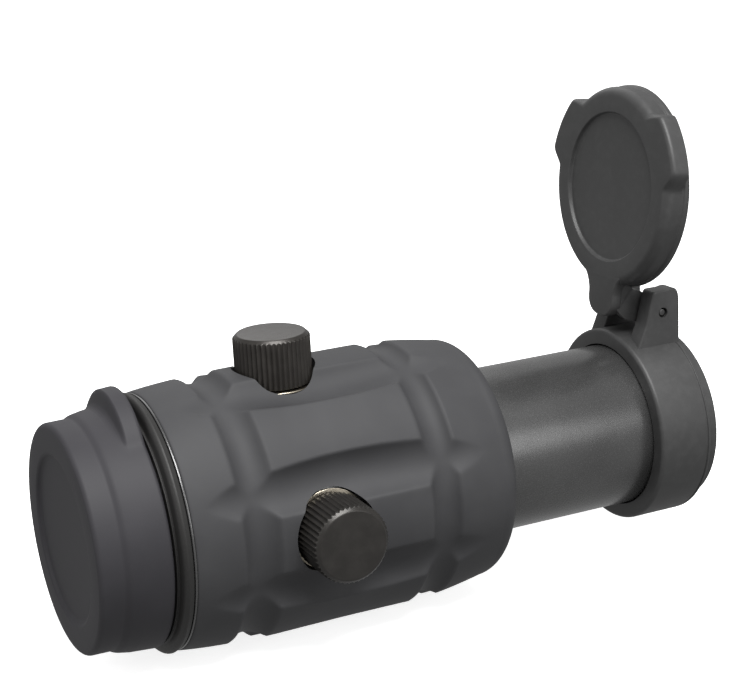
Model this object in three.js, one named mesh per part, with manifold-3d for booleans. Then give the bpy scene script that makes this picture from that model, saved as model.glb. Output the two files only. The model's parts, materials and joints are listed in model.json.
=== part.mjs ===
import * as THREE from 'three';
import { mergeVertices } from 'three/addons/utils/BufferGeometryUtils.js';
import Module from 'manifold-3d';

// A short sight magnifier on a 30 mm tube: two capped turrets, a moulded rubber armour,
// a push-on eyepiece cap and a flip-up front cover that stands open.
// Lengths are millimetres. +Y runs from the eye to the scene, +Z is up and +X is the right side.
// The origin is the middle of the bare tube, where a mounting ring grips it.
// Every piece is drawn inside one group whose own zero is the crossing of the two turret axes,
// so each place along Y is a distance ahead of the turrets.

// Driving dimensions: clearances and cutters
const fitGap = 0.3; // between pieces that fit into each other
const slipGap = 0.15; // round lenses and pins, which fit more closely
const overrun = 2; // how far a cutter runs past what it cuts

// Driving dimensions: how finely round pieces are faceted
const largeSides = 36;
const mediumSides = 20;
const smallSides = 12;

// Driving dimensions: main tube and housing
const tubeRadius = 15;
const bareTubeLength = 30;
const tubeWall = 2.6;
const objectiveWall = 1.6;
const housing = {
  radius: 20.2,
  boreRadius: 14, // round the erector tube
  rearWall: 1.6, // round the eyepiece
  rear: 24,
  front: 31,
  taper: 4.5,
  boreTaper: 3,
  flangeHeight: 1.75,
  flangeThickness: 0.4,
  seatDepth: 0.6,
  seatRadius: 7.6,
};

// Driving dimensions: rubber armour, thicknesses over its own bore
const armour = {
  nose: 1.4,
  rearThickness: 1.55,
  fullThickness: 2.85,
  frontThickness: 1.15,
  rearEdge: 0.5,
  fullFrom: 6,
  fullTo: 19,
  shoulder: 3.2,
  holeRadius: 8,
};
const channel = { count: 8, padHalfWidth: 5.3, width: 7.2, depth: 1.35, rear: 20.5, front: 27.6, endLength: 4.5 };
const channelWallShare = 0.27; // how much of a channel's width its steep wall takes
const creasePowerShare = 0.7; // under 1, so that a groove's floor is full and its edges are sharp
const rearGroove = { centre: -12.4, halfWidth: 3, depth: 1.05 };
const frontGroove = { centre: 20.8, halfWidth: 2.6, depth: 1.2 };

// Driving dimensions: eyepiece and dioptre ring
const eyepiece = {
  length: 20.8,
  cellWall: 2.95,
  endGap: 0.5,
  lipReach: 1,
  lipThickness: 1.2,
  sealRecess: 0.6,
  sealWidth: 1.1,
  sealFromFront: 1.8,
};
const eyeLens = { centre: 4.6, edge: 2.6 };
const fieldLens = { centre: 5.4, edge: 2 };
const lensSpacerLength = 3.4;
const retainer = { length: 2, slotWidth: 1.6, slotDepth: 0.9, wall: 2 };
const bead = { length: 2.2, height: 3.65 };

// Driving dimensions: eyepiece cap, heights above the eyepiece and places from its face
const cap = {
  length: 12.15,
  faceHeight: 1.2,
  flareHeight: 1.95,
  mouthHeight: 2.45,
  stepFromFace: 4.2,
  stepLength: 1.2,
  rim: 1.2,
  mouthEdge: 0.5,
  mouthGap: 0.35,
  wall: 1.6,
  recessInset: 4.9,
  recessDepth: 0.7,
  recessEdge: 0.5,
};
const tab = { height: 2.95, radius: 12, length: 4.4, setback: 0.05, slope: 2.4, edge: 0.6 };

// Driving dimensions: turrets, heights above the seat in the housing
const knob = {
  radius: 6.65,
  bottom: 0.85,
  height: 8.65,
  chamfer: 0.85,
  flutes: 48,
  fluteDepth: 0.28,
  wall: 1.15,
  crown: 1.5,
};
const bushing = { flangeRadius: 6.95, flange: 0.35, neckRadius: 4.9, neckHeight: 3.8, stemRadius: 4, stemInset: 0.6 };
const dial = { radius: 4.3, thickness: 1.7, gap: 0.5, stemRadius: 2.4, stemRise: 2.6, slotWidth: 1, slotDepth: 0.8 };
const plunger = { tipRadius: 1.9, tipRound: 0.5, pinRadius: 1.15, shoulderInset: 1, pinHeight: 0.8 };
const turretSealThickness = 0.5;

// Driving dimensions: erector tube and gimbal
const erector = { roomRound: 5.2, wall: 1.2, rear: 13.6, front: 31, lensLip: 0.8, lipLength: 1.2 };
const relayLens = { centre: 3.6, edge: 2.2, ringInset: 1.2, stopGap: 0.6, spacerWall: 0.9 };
const fieldStop = { rim: 2.4, thickness: 0.8 };
const gimbal = { place: 26, outerGap: 1.4, innerGap: 1, width: 5, pinRadius: 0.9, pinDepth: 0.8 };
const leaf = { width: 5, thickness: 0.4, rear: 10.5, front: 9 };
const leafAngle = (5 * Math.PI) / 4; // opposite the two turrets

// Driving dimensions: objective
const objective = { frontInset: 2.1, retainerLength: 1.8, retainerWall: 1.9, sealThickness: 0.9 };
const crownLens = { centre: 4.2, edge: 2 };
const flintLens = { centre: 2, edge: 4.1 };

// Driving dimensions: flip cover, heights of the ears above the hinge pin
const collar = {
  wall: 2.76,
  bodyLength: 10.6,
  spigotWall: 1.15,
  spigotLength: 2.56,
  rearRound: 1.8,
  lipReach: 1.1,
  lipThickness: 1,
};
const hinge = { ahead: 7.2, aboveCollar: 4.14, openAngleDegrees: 174, pinRadius: 0.65, holeRadius: 0.95, barrel: 2.4 };
const ear = { inner: 4.4, width: 3.7, top: 4.7, lip: 0.35, behind: 2.6, shoulder: 1, foot: 2.46, round: 1.3 };
const lid = {
  overhang: 0.04,
  frontGap: 0.64,
  wall: 1.35,
  faceThickness: 1.5,
  edge: 1.2,
  recessInset: 4.5,
  recessDepth: 0.5,
  rimLip: 0.25,
  rimLipWidth: 0.8,
};
const lug = { height: 2.2, fromDegrees: 43, toDegrees: 78, inset: 0.7, thickness: 3.5, bevel: 0.5, corner: 1.2 };
const arm = { sideGap: 0.35, thickness: 2.3, past: 1.75, cheekInset: 0.35, cheekWidth: 1.5, cheekFoot: 4.2 };
const spring = { wireRadius: 0.25, coilRadius: 1.35, turns: 5, sideGap: 0.5, legReach: 3.2, stepsPerTurn: 8, sides: 5 };

// Places and radii of the housing and armour that follow from the sizes above
const eyepieceBoreRadius = housing.radius - housing.rearWall;
const housingNose = housing.front + housing.taper;
const flangeRear = housing.rear + housing.flangeThickness;
const turretSeat = housing.radius - housing.seatDepth;
const armourFront = housingNose + armour.nose;
const armourBoreRadius = housing.radius + fitGap;
const armourRadii = {
  rear: armourBoreRadius + armour.rearThickness,
  full: armourBoreRadius + armour.fullThickness,
  front: armourBoreRadius + armour.frontThickness,
};

// Places and radii of the eyepiece, dioptre ring and cap
const eyepieceRadius = eyepieceBoreRadius - fitGap;
const eyeLensRadius = eyepieceRadius - eyepiece.cellWall - slipGap;
const beadFront = flangeRear + fitGap;
const beadRear = beadFront + bead.length;
const beadRadius = eyepieceRadius + fitGap + bead.height;
const capMouth = beadRear + cap.mouthGap;
const capFace = capMouth + cap.length;
const capFaceRadius = eyepieceRadius + cap.faceHeight;
const capMouthRadius = eyepieceRadius + cap.mouthHeight;
const eyepieceRear = capFace - cap.recessDepth - cap.wall - eyepiece.endGap;
const eyepieceFront = eyepieceRear - eyepiece.length;
const eyepieceBoreFront = eyepieceFront - fitGap;

// Places and radii of the turrets and the erector tube
const knobBottom = turretSeat + knob.bottom;
const knobTop = knobBottom + knob.height;
const neckTop = turretSeat + bushing.neckHeight;
const erectorRadius = housing.boreRadius - erector.roomRound;
const gimbalOuter = housing.boreRadius - gimbal.outerGap;
const gimbalInner = erectorRadius + gimbal.innerGap;

// Places and radii of the objective and the flip cover
const collarBoreRadius = tubeRadius + fitGap;
const collarRadius = collarBoreRadius + collar.wall;
const collarRear = armourFront + bareTubeLength;
const collarFront = collarRear + collar.bodyLength;
const spigotFront = collarFront + collar.spigotLength;
const tubeEnd = spigotFront - collar.lipThickness - fitGap;
const objectiveRadius = tubeRadius - objectiveWall - slipGap;
const objectiveStack = objective.retainerLength + objective.sealThickness + crownLens.edge + flintLens.edge;
const objectiveSeat = tubeEnd - objective.frontInset - objectiveStack - crownLens.centre / 2;
const hingeY = collarRear + hinge.ahead;
const hingeZ = collarRadius + hinge.aboveCollar;
const earOuter = ear.inner + ear.width;
const lidRadius = collarRadius + lid.overhang;
const lidMouth = collarFront + fitGap - hingeY;
const lidInside = spigotFront + lid.frontGap - hingeY;
const lidFace = lidInside + lid.faceThickness + lid.recessDepth;
const armHalfWidth = ear.inner - arm.sideGap;
const cheekOuter = armHalfWidth - arm.cheekInset;
const cheekInner = cheekOuter - arm.cheekWidth;

// The middle of the bare tube, measured ahead of the turrets
const turretY = -(armourFront + bareTubeLength / 2);

const black = { anodised: 0x1b1a19, aluminium: 0x2a2a2b, rubber: 0x3a3a3d, plastic: 0x2c2b2c };

const wasm = await Module();
wasm.setup();

function finish(color, roughness, metalness, extra = {}) {
  return new THREE.MeshStandardMaterial({ color, roughness, metalness, ...extra });
}

const finishes = {
  anodisedTube: finish(black.aluminium, 0.42, 0.8),
  anodisedKnob: finish(black.anodised, 0.38, 0.8),
  armourRubber: finish(black.rubber, 0.85, 0),
  coverPlastic: finish(black.plastic, 0.6, 0),
  brass: finish(0xb9a06a, 0.3, 1),
  steel: finish(0x9a9a9a, 0.35, 1),
  glass: finish(0xc8d8d4, 0.03, 0, { transparent: true, opacity: 0.35 }),
  sealRubber: finish(0x111111, 0.7, 0),
};

// Turns a closed geometry into a solid that can be joined and cut
function solidOf(geometry) {
  const bare = geometry.clone();
  bare.deleteAttribute('normal');
  bare.deleteAttribute('uv');
  const merged = mergeVertices(bare);
  const triVerts = [];
  for (let i = 0; i < merged.index.count; i += 3) {
    const corners = [0, 1, 2].map((j) => merged.index.getX(i + j));
    if (new Set(corners).size === 3) triVerts.push(...corners);
  }
  const vertProperties = Float32Array.from(merged.attributes.position.array);
  return new wasm.Manifold(new wasm.Mesh({ numProp: 3, vertProperties, triVerts: Uint32Array.from(triVerts) }));
}

function geometryOf(solid) {
  const mesh = solid.getMesh();
  const geometry = new THREE.BufferGeometry();
  geometry.setAttribute('position', new THREE.BufferAttribute(Float32Array.from(mesh.vertProperties), 3));
  geometry.setIndex(Array.from(mesh.triVerts));
  geometry.computeVertexNormals();
  return geometry;
}

function joined(...geometries) {
  return geometryOf(geometries.map(solidOf).reduce((whole, part) => whole.add(part)));
}

function cut(geometry, ...cutters) {
  return geometryOf(cutters.map(solidOf).reduce((whole, part) => whole.subtract(part), solidOf(geometry)));
}

// A revolved solid about Y; the outline is [radius, place] pairs, anticlockwise with radius to the right
function turned(outline, sides = largeSides) {
  const onAxis = outline[0][0] === 0 && outline[outline.length - 1][0] === 0;
  const closed = onAxis ? outline : [...outline, outline[0]];
  return new THREE.LatheGeometry(closed.map(([radius, place]) => new THREE.Vector2(radius, place)), sides);
}

function ring(inner, outer, rear, front, sides = mediumSides) {
  return turned([[inner, rear], [outer, rear], [outer, front], [inner, front]], sides);
}

function rod(radius, rear, front, sides = smallSides) {
  return turned([[0, rear], [radius, rear], [radius, front], [0, front]], sides);
}

// Points of a quarter round or any other arc in an outline, from one angle to another in degrees
function arc(radius, place, size, from, to, steps = 3) {
  return Array.from({ length: steps + 1 }, (_, i) => {
    const angle = THREE.MathUtils.degToRad(from + ((to - from) * i) / steps);
    return [radius + size * Math.cos(angle), place + size * Math.sin(angle)];
  });
}

// Stacks rings of points of equal count into one closed solid, with a fan over each end
function lofted(rings) {
  const count = rings[0].length;
  const points = rings.flat();
  const index = [];
  for (let r = 0; r < rings.length - 1; r++) {
    for (let i = 0; i < count; i++) {
      const a = r * count + i;
      const b = r * count + ((i + 1) % count);
      index.push(a, b, b + count, a, b + count, a + count);
    }
  }
  for (const [at, flip] of [[0, true], [rings.length - 1, false]]) {
    const centre = rings[at].reduce((sum, p) => sum.add(p), new THREE.Vector3()).divideScalar(count);
    points.push(centre);
    for (let i = 0; i < count; i++) {
      const pair = [at * count + i, at * count + ((i + 1) % count)];
      index.push(...(flip ? pair.reverse() : pair), points.length - 1);
    }
  }
  const geometry = new THREE.BufferGeometry().setFromPoints(points);
  geometry.setIndex(index);
  return geometry;
}

// A round ring of points about Y whose radius may change with the angle
function ringOfPoints(angles, place, radiusAt) {
  return angles.map((angle) => {
    const radius = radiusAt(angle);
    return new THREE.Vector3(radius * Math.sin(angle), place, radius * Math.cos(angle));
  });
}

// An outline in Y and Z, given thickness along X
function slab(outline, fromX, toX) {
  const shape = new THREE.Shape(outline.map(([y, z]) => new THREE.Vector2(y, z)));
  const geometry = new THREE.ExtrudeGeometry(shape, { depth: toX - fromX, bevelEnabled: false });
  const turn = new THREE.Matrix4().makeBasis(
    new THREE.Vector3(0, 1, 0),
    new THREE.Vector3(0, 0, 1),
    new THREE.Vector3(1, 0, 0),
  );
  return geometry.applyMatrix4(turn).translate(fromX, 0, 0);
}

// An outline in X and Z, given thickness along Y with rounded edges
function plate(outline, rear, front, bevel = 0) {
  const shape = new THREE.Shape(outline.map(([x, z]) => new THREE.Vector2(x, z)));
  const geometry = new THREE.ExtrudeGeometry(shape, {
    depth: front - rear - 2 * bevel,
    bevelEnabled: bevel > 0,
    bevelThickness: bevel,
    bevelSize: bevel,
    bevelOffset: -bevel,
    bevelSegments: 1,
  });
  return geometry.rotateX(Math.PI / 2).translate(0, front - bevel, 0);
}

function alongX(geometry) {
  return geometry.rotateZ(-Math.PI / 2);
}

function alongZ(geometry) {
  return geometry.rotateX(Math.PI / 2);
}

const finder = new THREE.Group();
const body = new THREE.Group();
body.position.y = turretY;
finder.add(body);

function place(name, geometry, material, group = body) {
  const mesh = new THREE.Mesh(geometry, material);
  mesh.name = name;
  group.add(mesh);
  return mesh;
}

// Main tube: a 30 mm tube that widens into the turret housing under the armour
function mainTube() {
  const objectiveBore = tubeRadius - objectiveWall;
  const tubeBore = tubeRadius - tubeWall;
  const flangeRadius = housing.radius + housing.flangeHeight;
  const blank = turned([
    [eyepieceBoreRadius, -flangeRear],
    [flangeRadius, -flangeRear],
    [flangeRadius, -housing.rear],
    [housing.radius, -housing.rear],
    [housing.radius, housing.front],
    [tubeRadius, housingNose],
    [tubeRadius, tubeEnd],
    [objectiveBore, tubeEnd],
    [objectiveBore, objectiveSeat],
    [tubeBore, objectiveSeat],
    [tubeBore, housingNose + housing.boreTaper],
    [housing.boreRadius, housingNose],
    [housing.boreRadius, -eyepieceBoreFront],
    [eyepieceBoreRadius, -eyepieceBoreFront],
  ]);
  const seatTop = housing.radius + overrun;
  const seat = rod(housing.seatRadius, turretSeat, seatTop, mediumSides);
  const bore = rod(bushing.stemRadius + fitGap, housing.boreRadius - overrun, seatTop, mediumSides);
  const pinHole = rod(gimbal.pinRadius + fitGap, -seatTop, seatTop, smallSides);
  return cut(
    blank,
    alongZ(seat.clone()),
    alongX(seat.clone()),
    alongZ(bore.clone()),
    alongX(bore.clone()),
    alongX(pinHole).translate(0, gimbal.place, 0),
  );
}

// Rubber armour: a barrel with eight channels along it and a groove round it either side of the turrets,
// which leave four raised pads between the turret panels
function barrelRadius(y) {
  const toRear = THREE.MathUtils.clamp((-y - armour.fullFrom) / (housing.rear - armour.fullFrom), 0, 1);
  const shoulderStart = armourFront - armour.shoulder;
  const toFront = THREE.MathUtils.clamp((y - armour.fullTo) / (shoulderStart - armour.fullTo), 0, 1);
  const rearDrop = (armourRadii.full - armourRadii.rear) * toRear * toRear;
  const frontDrop = (armourRadii.full - armourRadii.front) * toFront * Math.sqrt(toFront);
  return armourRadii.full - rearDrop - frontDrop;
}

function grooveDepth(groove, y) {
  const share = Math.abs(y - groove.centre) / groove.halfWidth;
  return share < 1 ? groove.depth * Math.cos((share * Math.PI) / 2) ** creasePowerShare : 0;
}

// A channel drops steeply beside a raised pad and rises gently to the panel that holds a turret
function channelProfile(share) {
  if (share <= 0 || share >= 1) return 0;
  if (share < channelWallShare) return Math.sin((share / channelWallShare) * (Math.PI / 2)) ** creasePowerShare;
  return (1 + Math.cos((Math.PI * (share - channelWallShare)) / (1 - channelWallShare))) / 2;
}

function channelDepth(angle, y) {
  const pitch = (4 * Math.PI) / channel.count;
  const turns = angle / pitch - 0.5;
  const offset = Math.abs(turns - Math.round(turns)) * pitch * armourRadii.full;
  const beyond = Math.max(y - (channel.front - channel.endLength), channel.endLength - channel.rear - y, 0);
  const narrowing = Math.sqrt(Math.max(1 - (beyond / channel.endLength) ** 2, 0));
  if (narrowing === 0) return 0;
  return channel.depth * narrowing * channelProfile((offset - channel.padHalfWidth) / (channel.width * narrowing));
}

function armourRadius(angle, y) {
  const hollow = Math.max(channelDepth(angle, y), grooveDepth(rearGroove, y), grooveDepth(frontGroove, y));
  return barrelRadius(y) - hollow;
}

function armourAngles() {
  const acrossShares = [0, 0.1, channelWallShare, 0.6, 1];
  const pads = channel.count / 2;
  const pitch = (2 * Math.PI) / pads;
  const across = acrossShares.map((share) => (channel.padHalfWidth + share * channel.width) / armourRadii.full);
  const oneQuarter = [...across.map((angle) => -angle).reverse(), 0, ...across, pitch / 2];
  return Array.from({ length: pads }, (_, i) => i)
    .flatMap((i) => oneQuarter.map((angle) => (i + 0.5) * pitch + angle));
}

// The places along the armour that need a ring of points, from the rear edge to the shoulder
function armourPlaces() {
  const grooveShares = [-1, -0.65, 0, 0.65, 1];
  const endShares = [0, 0.4, 1];
  const middleShares = [0.15, 0.4, 0.7];
  const inGroove = (groove) => grooveShares.map((share) => groove.centre + share * groove.halfWidth);
  const middleFrom = rearGroove.centre + rearGroove.halfWidth;
  const middleTo = frontGroove.centre - frontGroove.halfWidth;
  const ends = endShares.flatMap((share) => [
    -channel.rear + share * channel.endLength,
    channel.front - share * channel.endLength,
  ]);
  const inside = (y, groove) => Math.abs(y - groove.centre) < groove.halfWidth + fitGap;
  const from = -housing.rear + armour.rearEdge;
  const to = armourFront - armour.shoulder;
  return [
    ...ends.filter((y) => !inside(y, rearGroove) && !inside(y, frontGroove)),
    ...inGroove(rearGroove),
    ...middleShares.map((share) => middleFrom + share * (middleTo - middleFrom)),
    ...inGroove(frontGroove),
  ].sort((a, b) => a - b).filter((y, i, all) => y > from + fitGap && y < to - fitGap && (i === 0 || y > all[i - 1]));
}

function rubberArmour() {
  const angles = armourAngles();
  const edge = armour.rearEdge;
  const shoulderStart = armourFront - armour.shoulder;
  const rearRound = arc(armourRadii.rear - edge, -housing.rear + edge, edge, -90, 0, 2);
  const frontRound = arc(armourRadii.front - armour.shoulder, shoulderStart, armour.shoulder, 0, 90, 4);
  const rings = [
    ...rearRound.map(([radius, y]) => ringOfPoints(angles, y, () => radius)),
    ...armourPlaces().map((y) => ringOfPoints(angles, y, (angle) => armourRadius(angle, y))),
    ...frontRound.map(([radius, y]) => ringOfPoints(angles, y, () => radius)),
  ];
  const bore = turned([
    [0, -housing.rear - overrun],
    [armourBoreRadius, -housing.rear - overrun],
    [armourBoreRadius, housing.front],
    [tubeRadius + fitGap, housingNose],
    [tubeRadius + fitGap, armourFront + overrun],
    [0, armourFront + overrun],
  ]);
  const hole = rod(armour.holeRadius, 0, armourRadii.full + overrun, mediumSides);
  return cut(lofted(rings), bore, alongZ(hole.clone()), alongX(hole.clone()));
}

const lensShares = [0, 0.6, 1];

// How far a lens stands proud of its own edge at a seat's inner radius
function seatRise(glass, radius, inner) {
  return ((glass.centre - glass.edge) / 2) * (1 - (inner / radius) ** 2);
}

// Optical pieces: lenses are revolved between two bowed faces
function lens(glass, radius, rearEdge, sides = mediumSides) {
  const rise = (share) => seatRise(glass, 1, share);
  const rearSide = lensShares.map((share) => [radius * share, rearEdge - rise(share)]);
  const frontSide = lensShares.map((share) => [radius * share, rearEdge + glass.edge + rise(share)]).reverse();
  return turned([...rearSide, ...frontSide], sides);
}

// A lens with a flat rear and a hollow front
function hollowLens(glass, radius, rear, sides = mediumSides) {
  const sag = glass.edge - glass.centre;
  const frontSide = lensShares.map((share) => [radius * share, rear + glass.centre + sag * share * share]).reverse();
  return turned([[0, rear], [radius, rear], ...frontSide], sides);
}

// A threaded ring that clamps a lens, with two slots across its open face for a spanner
function retainingRing(inner, outer, rear, front, slotEnd) {
  const blank = ring(inner, outer, rear, front);
  const slot = new THREE.BoxGeometry(2 * (outer + overrun), 2 * retainer.slotDepth, retainer.slotWidth);
  return cut(blank, slot.translate(0, slotEnd, 0));
}

function objectiveGroup() {
  const radius = objectiveRadius;
  const inner = radius - objective.retainerWall;
  const flintRear = objectiveSeat + slipGap;
  const crownRear = flintRear + flintLens.edge + slipGap;
  const sealRear = crownRear + crownLens.edge + seatRise(crownLens, radius, inner) + slipGap;
  const retainerRear = sealRear + objective.sealThickness + slipGap;
  const retainerFront = retainerRear + objective.retainerLength;
  place('objective_flint_lens', hollowLens(flintLens, radius, flintRear), finishes.glass);
  place('objective_crown_lens', lens(crownLens, radius, crownRear), finishes.glass);
  place('objective_seal', ring(inner, radius, sealRear, sealRear + objective.sealThickness), finishes.sealRubber);
  place(
    'objective_retaining_ring',
    retainingRing(inner, radius, retainerRear, retainerFront, retainerFront),
    finishes.anodisedTube,
  );
}

// Eyepiece: a cell that screws out of the housing, with two lenses, a spacer and a retaining ring
function eyepieceCell() {
  const bore = eyeLensRadius + slipGap;
  const recess = eyepieceRadius - eyepiece.sealRecess;
  const sealFront = -eyepieceFront - eyepiece.sealFromFront;
  const sealRear = sealFront - eyepiece.sealWidth - 2 * slipGap;
  return turned([
    [bore - eyepiece.lipReach, -eyepieceRear],
    [eyepieceRadius, -eyepieceRear],
    [eyepieceRadius, sealRear],
    [recess, sealRear],
    [recess, sealFront],
    [eyepieceRadius, sealFront],
    [eyepieceRadius, -eyepieceFront],
    [bore, -eyepieceFront],
    [bore, -eyepieceRear + eyepiece.lipThickness],
    [bore - eyepiece.lipReach, -eyepieceRear + eyepiece.lipThickness],
  ]);
}

function eyepieceGroup() {
  place('eyepiece_cell', eyepieceCell(), finishes.anodisedTube);
  const sealFront = -eyepieceFront - eyepiece.sealFromFront - slipGap;
  const sealInner = eyepieceRadius - eyepiece.sealRecess + slipGap;
  const sealOuter = eyepieceBoreRadius - slipGap;
  place(
    'eyepiece_o_ring',
    ring(sealInner, sealOuter, sealFront - eyepiece.sealWidth, sealFront, largeSides),
    finishes.sealRubber,
  );
  const radius = eyeLensRadius;
  const inner = radius - retainer.wall;
  const lipRise = seatRise(eyeLens, radius, radius + slipGap - eyepiece.lipReach);
  const eyeRear = -eyepieceRear + eyepiece.lipThickness + lipRise + slipGap;
  const spacerRear = eyeRear + eyeLens.edge + seatRise(eyeLens, radius, inner) + slipGap;
  const spacerFront = spacerRear + lensSpacerLength;
  const fieldRear = spacerFront + seatRise(fieldLens, radius, inner) + slipGap;
  const ringRear = fieldRear + fieldLens.edge + seatRise(fieldLens, radius, inner) + slipGap;
  const ringFront = ringRear + retainer.length;
  place('eye_lens', lens(eyeLens, radius, eyeRear), finishes.glass);
  place('eyepiece_spacer', ring(inner, radius, spacerRear, spacerFront), finishes.anodisedTube);
  place('eyepiece_field_lens', lens(fieldLens, radius, fieldRear), finishes.glass);
  place('eyepiece_retaining_ring', retainingRing(inner, radius, ringRear, ringFront, ringFront), finishes.anodisedTube);
}

// Dioptre ring: the smooth bead between the cap and the armour
function dioptreRing() {
  const inner = eyepieceRadius + fitGap;
  const half = bead.length / 2;
  const middle = -(beadRear + beadFront) / 2;
  return turned([
    [inner, -beadRear],
    ...arc(beadRadius - half, middle, half, -90, 90, 4),
    [inner, -beadFront],
  ]);
}

// Eyepiece cap: a rubber cup with a shallow dish in its face and one pull tab
function eyepieceCap() {
  const bore = eyepieceRadius + fitGap;
  const dish = -capFace + cap.recessDepth;
  const inside = dish + cap.wall;
  const stepRear = -capFace + cap.stepFromFace;
  const recessRadius = capFaceRadius - cap.recessInset;
  const cup = turned([
    [0, dish],
    [recessRadius - cap.recessEdge, dish],
    [recessRadius, -capFace],
    ...arc(capFaceRadius - cap.rim, -capFace + cap.rim, cap.rim, -90, 0),
    [capFaceRadius, stepRear],
    [eyepieceRadius + cap.flareHeight, stepRear + cap.stepLength],
    ...arc(capMouthRadius - cap.mouthEdge, -capMouth - cap.mouthEdge, cap.mouthEdge, 0, 90, 2),
    [0, -capMouth],
  ]);
  const tabFront = -capMouth - tab.setback;
  const tabRear = tabFront - tab.length;
  const tabDisc = turned([
    [0, tabRear],
    [tab.radius - tab.slope, tabRear],
    ...arc(tab.radius - tab.slope, tabRear + tab.slope, tab.slope, -60, 0, 3),
    ...arc(tab.radius - tab.edge, tabFront - tab.edge, tab.edge, 0, 90, 2),
    [0, tabFront],
  ], mediumSides).translate(0, 0, capMouthRadius + tab.height - tab.radius);
  return cut(joined(cup, tabDisc), rod(bore, inside, -capMouth + overrun, largeSides));
}

// Turret cap: straight knurling that runs out into the chamfer of a plain flat top
function knurledCap() {
  const pitch = (2 * Math.PI) / knob.flutes;
  const angles = Array.from({ length: 2 * knob.flutes }, (_, i) => (i * pitch) / 2);
  const isGroove = (angle) => Math.round((2 * angle) / pitch) % 2 === 1;
  const knurl = (y) => ringOfPoints(angles, y, (angle) => knob.radius - (isGroove(angle) ? knob.fluteDepth : 0));
  const shell = lofted([
    knurl(knobBottom),
    knurl(knobTop - knob.chamfer),
    ringOfPoints(angles, knobTop, () => knob.radius - knob.chamfer),
  ]);
  const inside = rod(knob.radius - knob.wall, knobBottom - overrun, knobTop - knob.crown, mediumSides);
  return cut(shell, inside);
}

// Turret bushing: a bright seat flange with a neck for the cap and a stem down into the housing
function turretBushing() {
  const bore = dial.stemRadius + fitGap;
  const stemBottom = housing.boreRadius + bushing.stemInset;
  const flangeBottom = turretSeat + slipGap;
  const flangeTop = flangeBottom + bushing.flange;
  return turned([
    [bore, stemBottom],
    [bushing.stemRadius, stemBottom],
    [bushing.stemRadius, flangeBottom],
    [bushing.flangeRadius, flangeBottom],
    [bushing.flangeRadius, flangeTop],
    [bushing.neckRadius, flangeTop],
    [bushing.neckRadius, neckTop],
    [bore, neckTop],
  ], mediumSides);
}

// Adjusting dial: a coin-slotted disc whose hollow stem turns in the bushing and drives the plunger
function adjustingDial() {
  const bottom = neckTop + dial.gap;
  const stemBottom = housing.boreRadius + dial.stemRise;
  const top = bottom + dial.thickness;
  const bore = plunger.pinRadius + fitGap;
  const blank = turned([
    [0, neckTop],
    [bore, neckTop],
    [bore, stemBottom],
    [dial.stemRadius, stemBottom],
    [dial.stemRadius, bottom],
    [dial.radius, bottom],
    [dial.radius, top],
    [0, top],
  ], mediumSides);
  const slot = new THREE.BoxGeometry(2 * (dial.radius + overrun), 2 * dial.slotDepth, dial.slotWidth);
  return cut(blank, slot.translate(0, top, 0));
}

function turretPlunger() {
  const tip = erectorRadius + fitGap;
  const shoulder = housing.boreRadius + plunger.shoulderInset;
  const top = turretSeat + plunger.pinHeight;
  return turned([
    [0, tip],
    ...arc(plunger.tipRadius - plunger.tipRound, tip + plunger.tipRound, plunger.tipRound, -90, 0, 2),
    [plunger.tipRadius, shoulder],
    [plunger.pinRadius, shoulder],
    [plunger.pinRadius, top],
    [0, top],
  ], smallSides);
}

function capSeal() {
  const bottom = turretSeat + slipGap + bushing.flange + slipGap;
  const inner = bushing.neckRadius + slipGap;
  return ring(inner, knob.radius - knob.wall - slipGap, bottom, bottom + turretSealThickness);
}

function turret(side, angle) {
  const group = new THREE.Group();
  group.rotation.y = angle;
  body.add(group);
  place(`${side}_cap`, alongZ(knurledCap()), finishes.anodisedKnob, group);
  place(`${side}_cap_seal`, alongZ(capSeal()), finishes.sealRubber, group);
  place(`${side}_bushing`, alongZ(turretBushing()), finishes.brass, group);
  place(`${side}_dial`, alongZ(adjustingDial()), finishes.brass, group);
  place(`${side}_plunger`, alongZ(turretPlunger()), finishes.steel, group);
}

// Erector tube: it hangs in a gimbal and carries the relay lenses that turn the image upright
function erectorTube() {
  const bore = erectorRadius - erector.wall;
  const blank = turned([
    [bore - erector.lensLip, -erector.rear],
    [erectorRadius, -erector.rear],
    [erectorRadius, erector.front],
    [bore, erector.front],
    [bore, -erector.rear + erector.lipLength],
    [bore - erector.lensLip, -erector.rear + erector.lipLength],
  ], mediumSides);
  const pinHole = rod(gimbal.pinRadius + fitGap, -erectorRadius - overrun, erectorRadius + overrun);
  return cut(blank, alongZ(pinHole).translate(0, gimbal.place, 0));
}

function erectorGroup() {
  const bore = erectorRadius - erector.wall;
  const radius = bore - slipGap;
  const inner = radius - relayLens.spacerWall;
  const rise = seatRise(relayLens, radius, inner) + slipGap;
  const lipRise = seatRise(relayLens, radius, bore - erector.lensLip) + slipGap;
  const rearLens = -erector.rear + erector.lipLength + lipRise;
  const spacerRear = rearLens + relayLens.edge + rise;
  const ringFront = erector.front - relayLens.ringInset;
  const ringRear = ringFront - retainer.length;
  const frontLens = ringRear - rise - relayLens.edge;
  const stopFront = frontLens - relayLens.stopGap;
  const stopRear = stopFront - fieldStop.thickness;
  place('erector_tube', erectorTube(), finishes.anodisedTube);
  place('rear_relay_lens', lens(relayLens, radius, rearLens, smallSides), finishes.glass);
  place('relay_spacer', ring(inner, radius, spacerRear, stopRear - slipGap, smallSides), finishes.anodisedTube);
  place('relay_stop', ring(bore - fieldStop.rim, radius, stopRear, stopFront, smallSides), finishes.anodisedTube);
  place('front_relay_lens', lens(relayLens, radius, frontLens, smallSides), finishes.glass);
  place('relay_retaining_ring', retainingRing(inner, radius, ringRear, ringFront, ringFront), finishes.anodisedTube);
}

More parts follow.
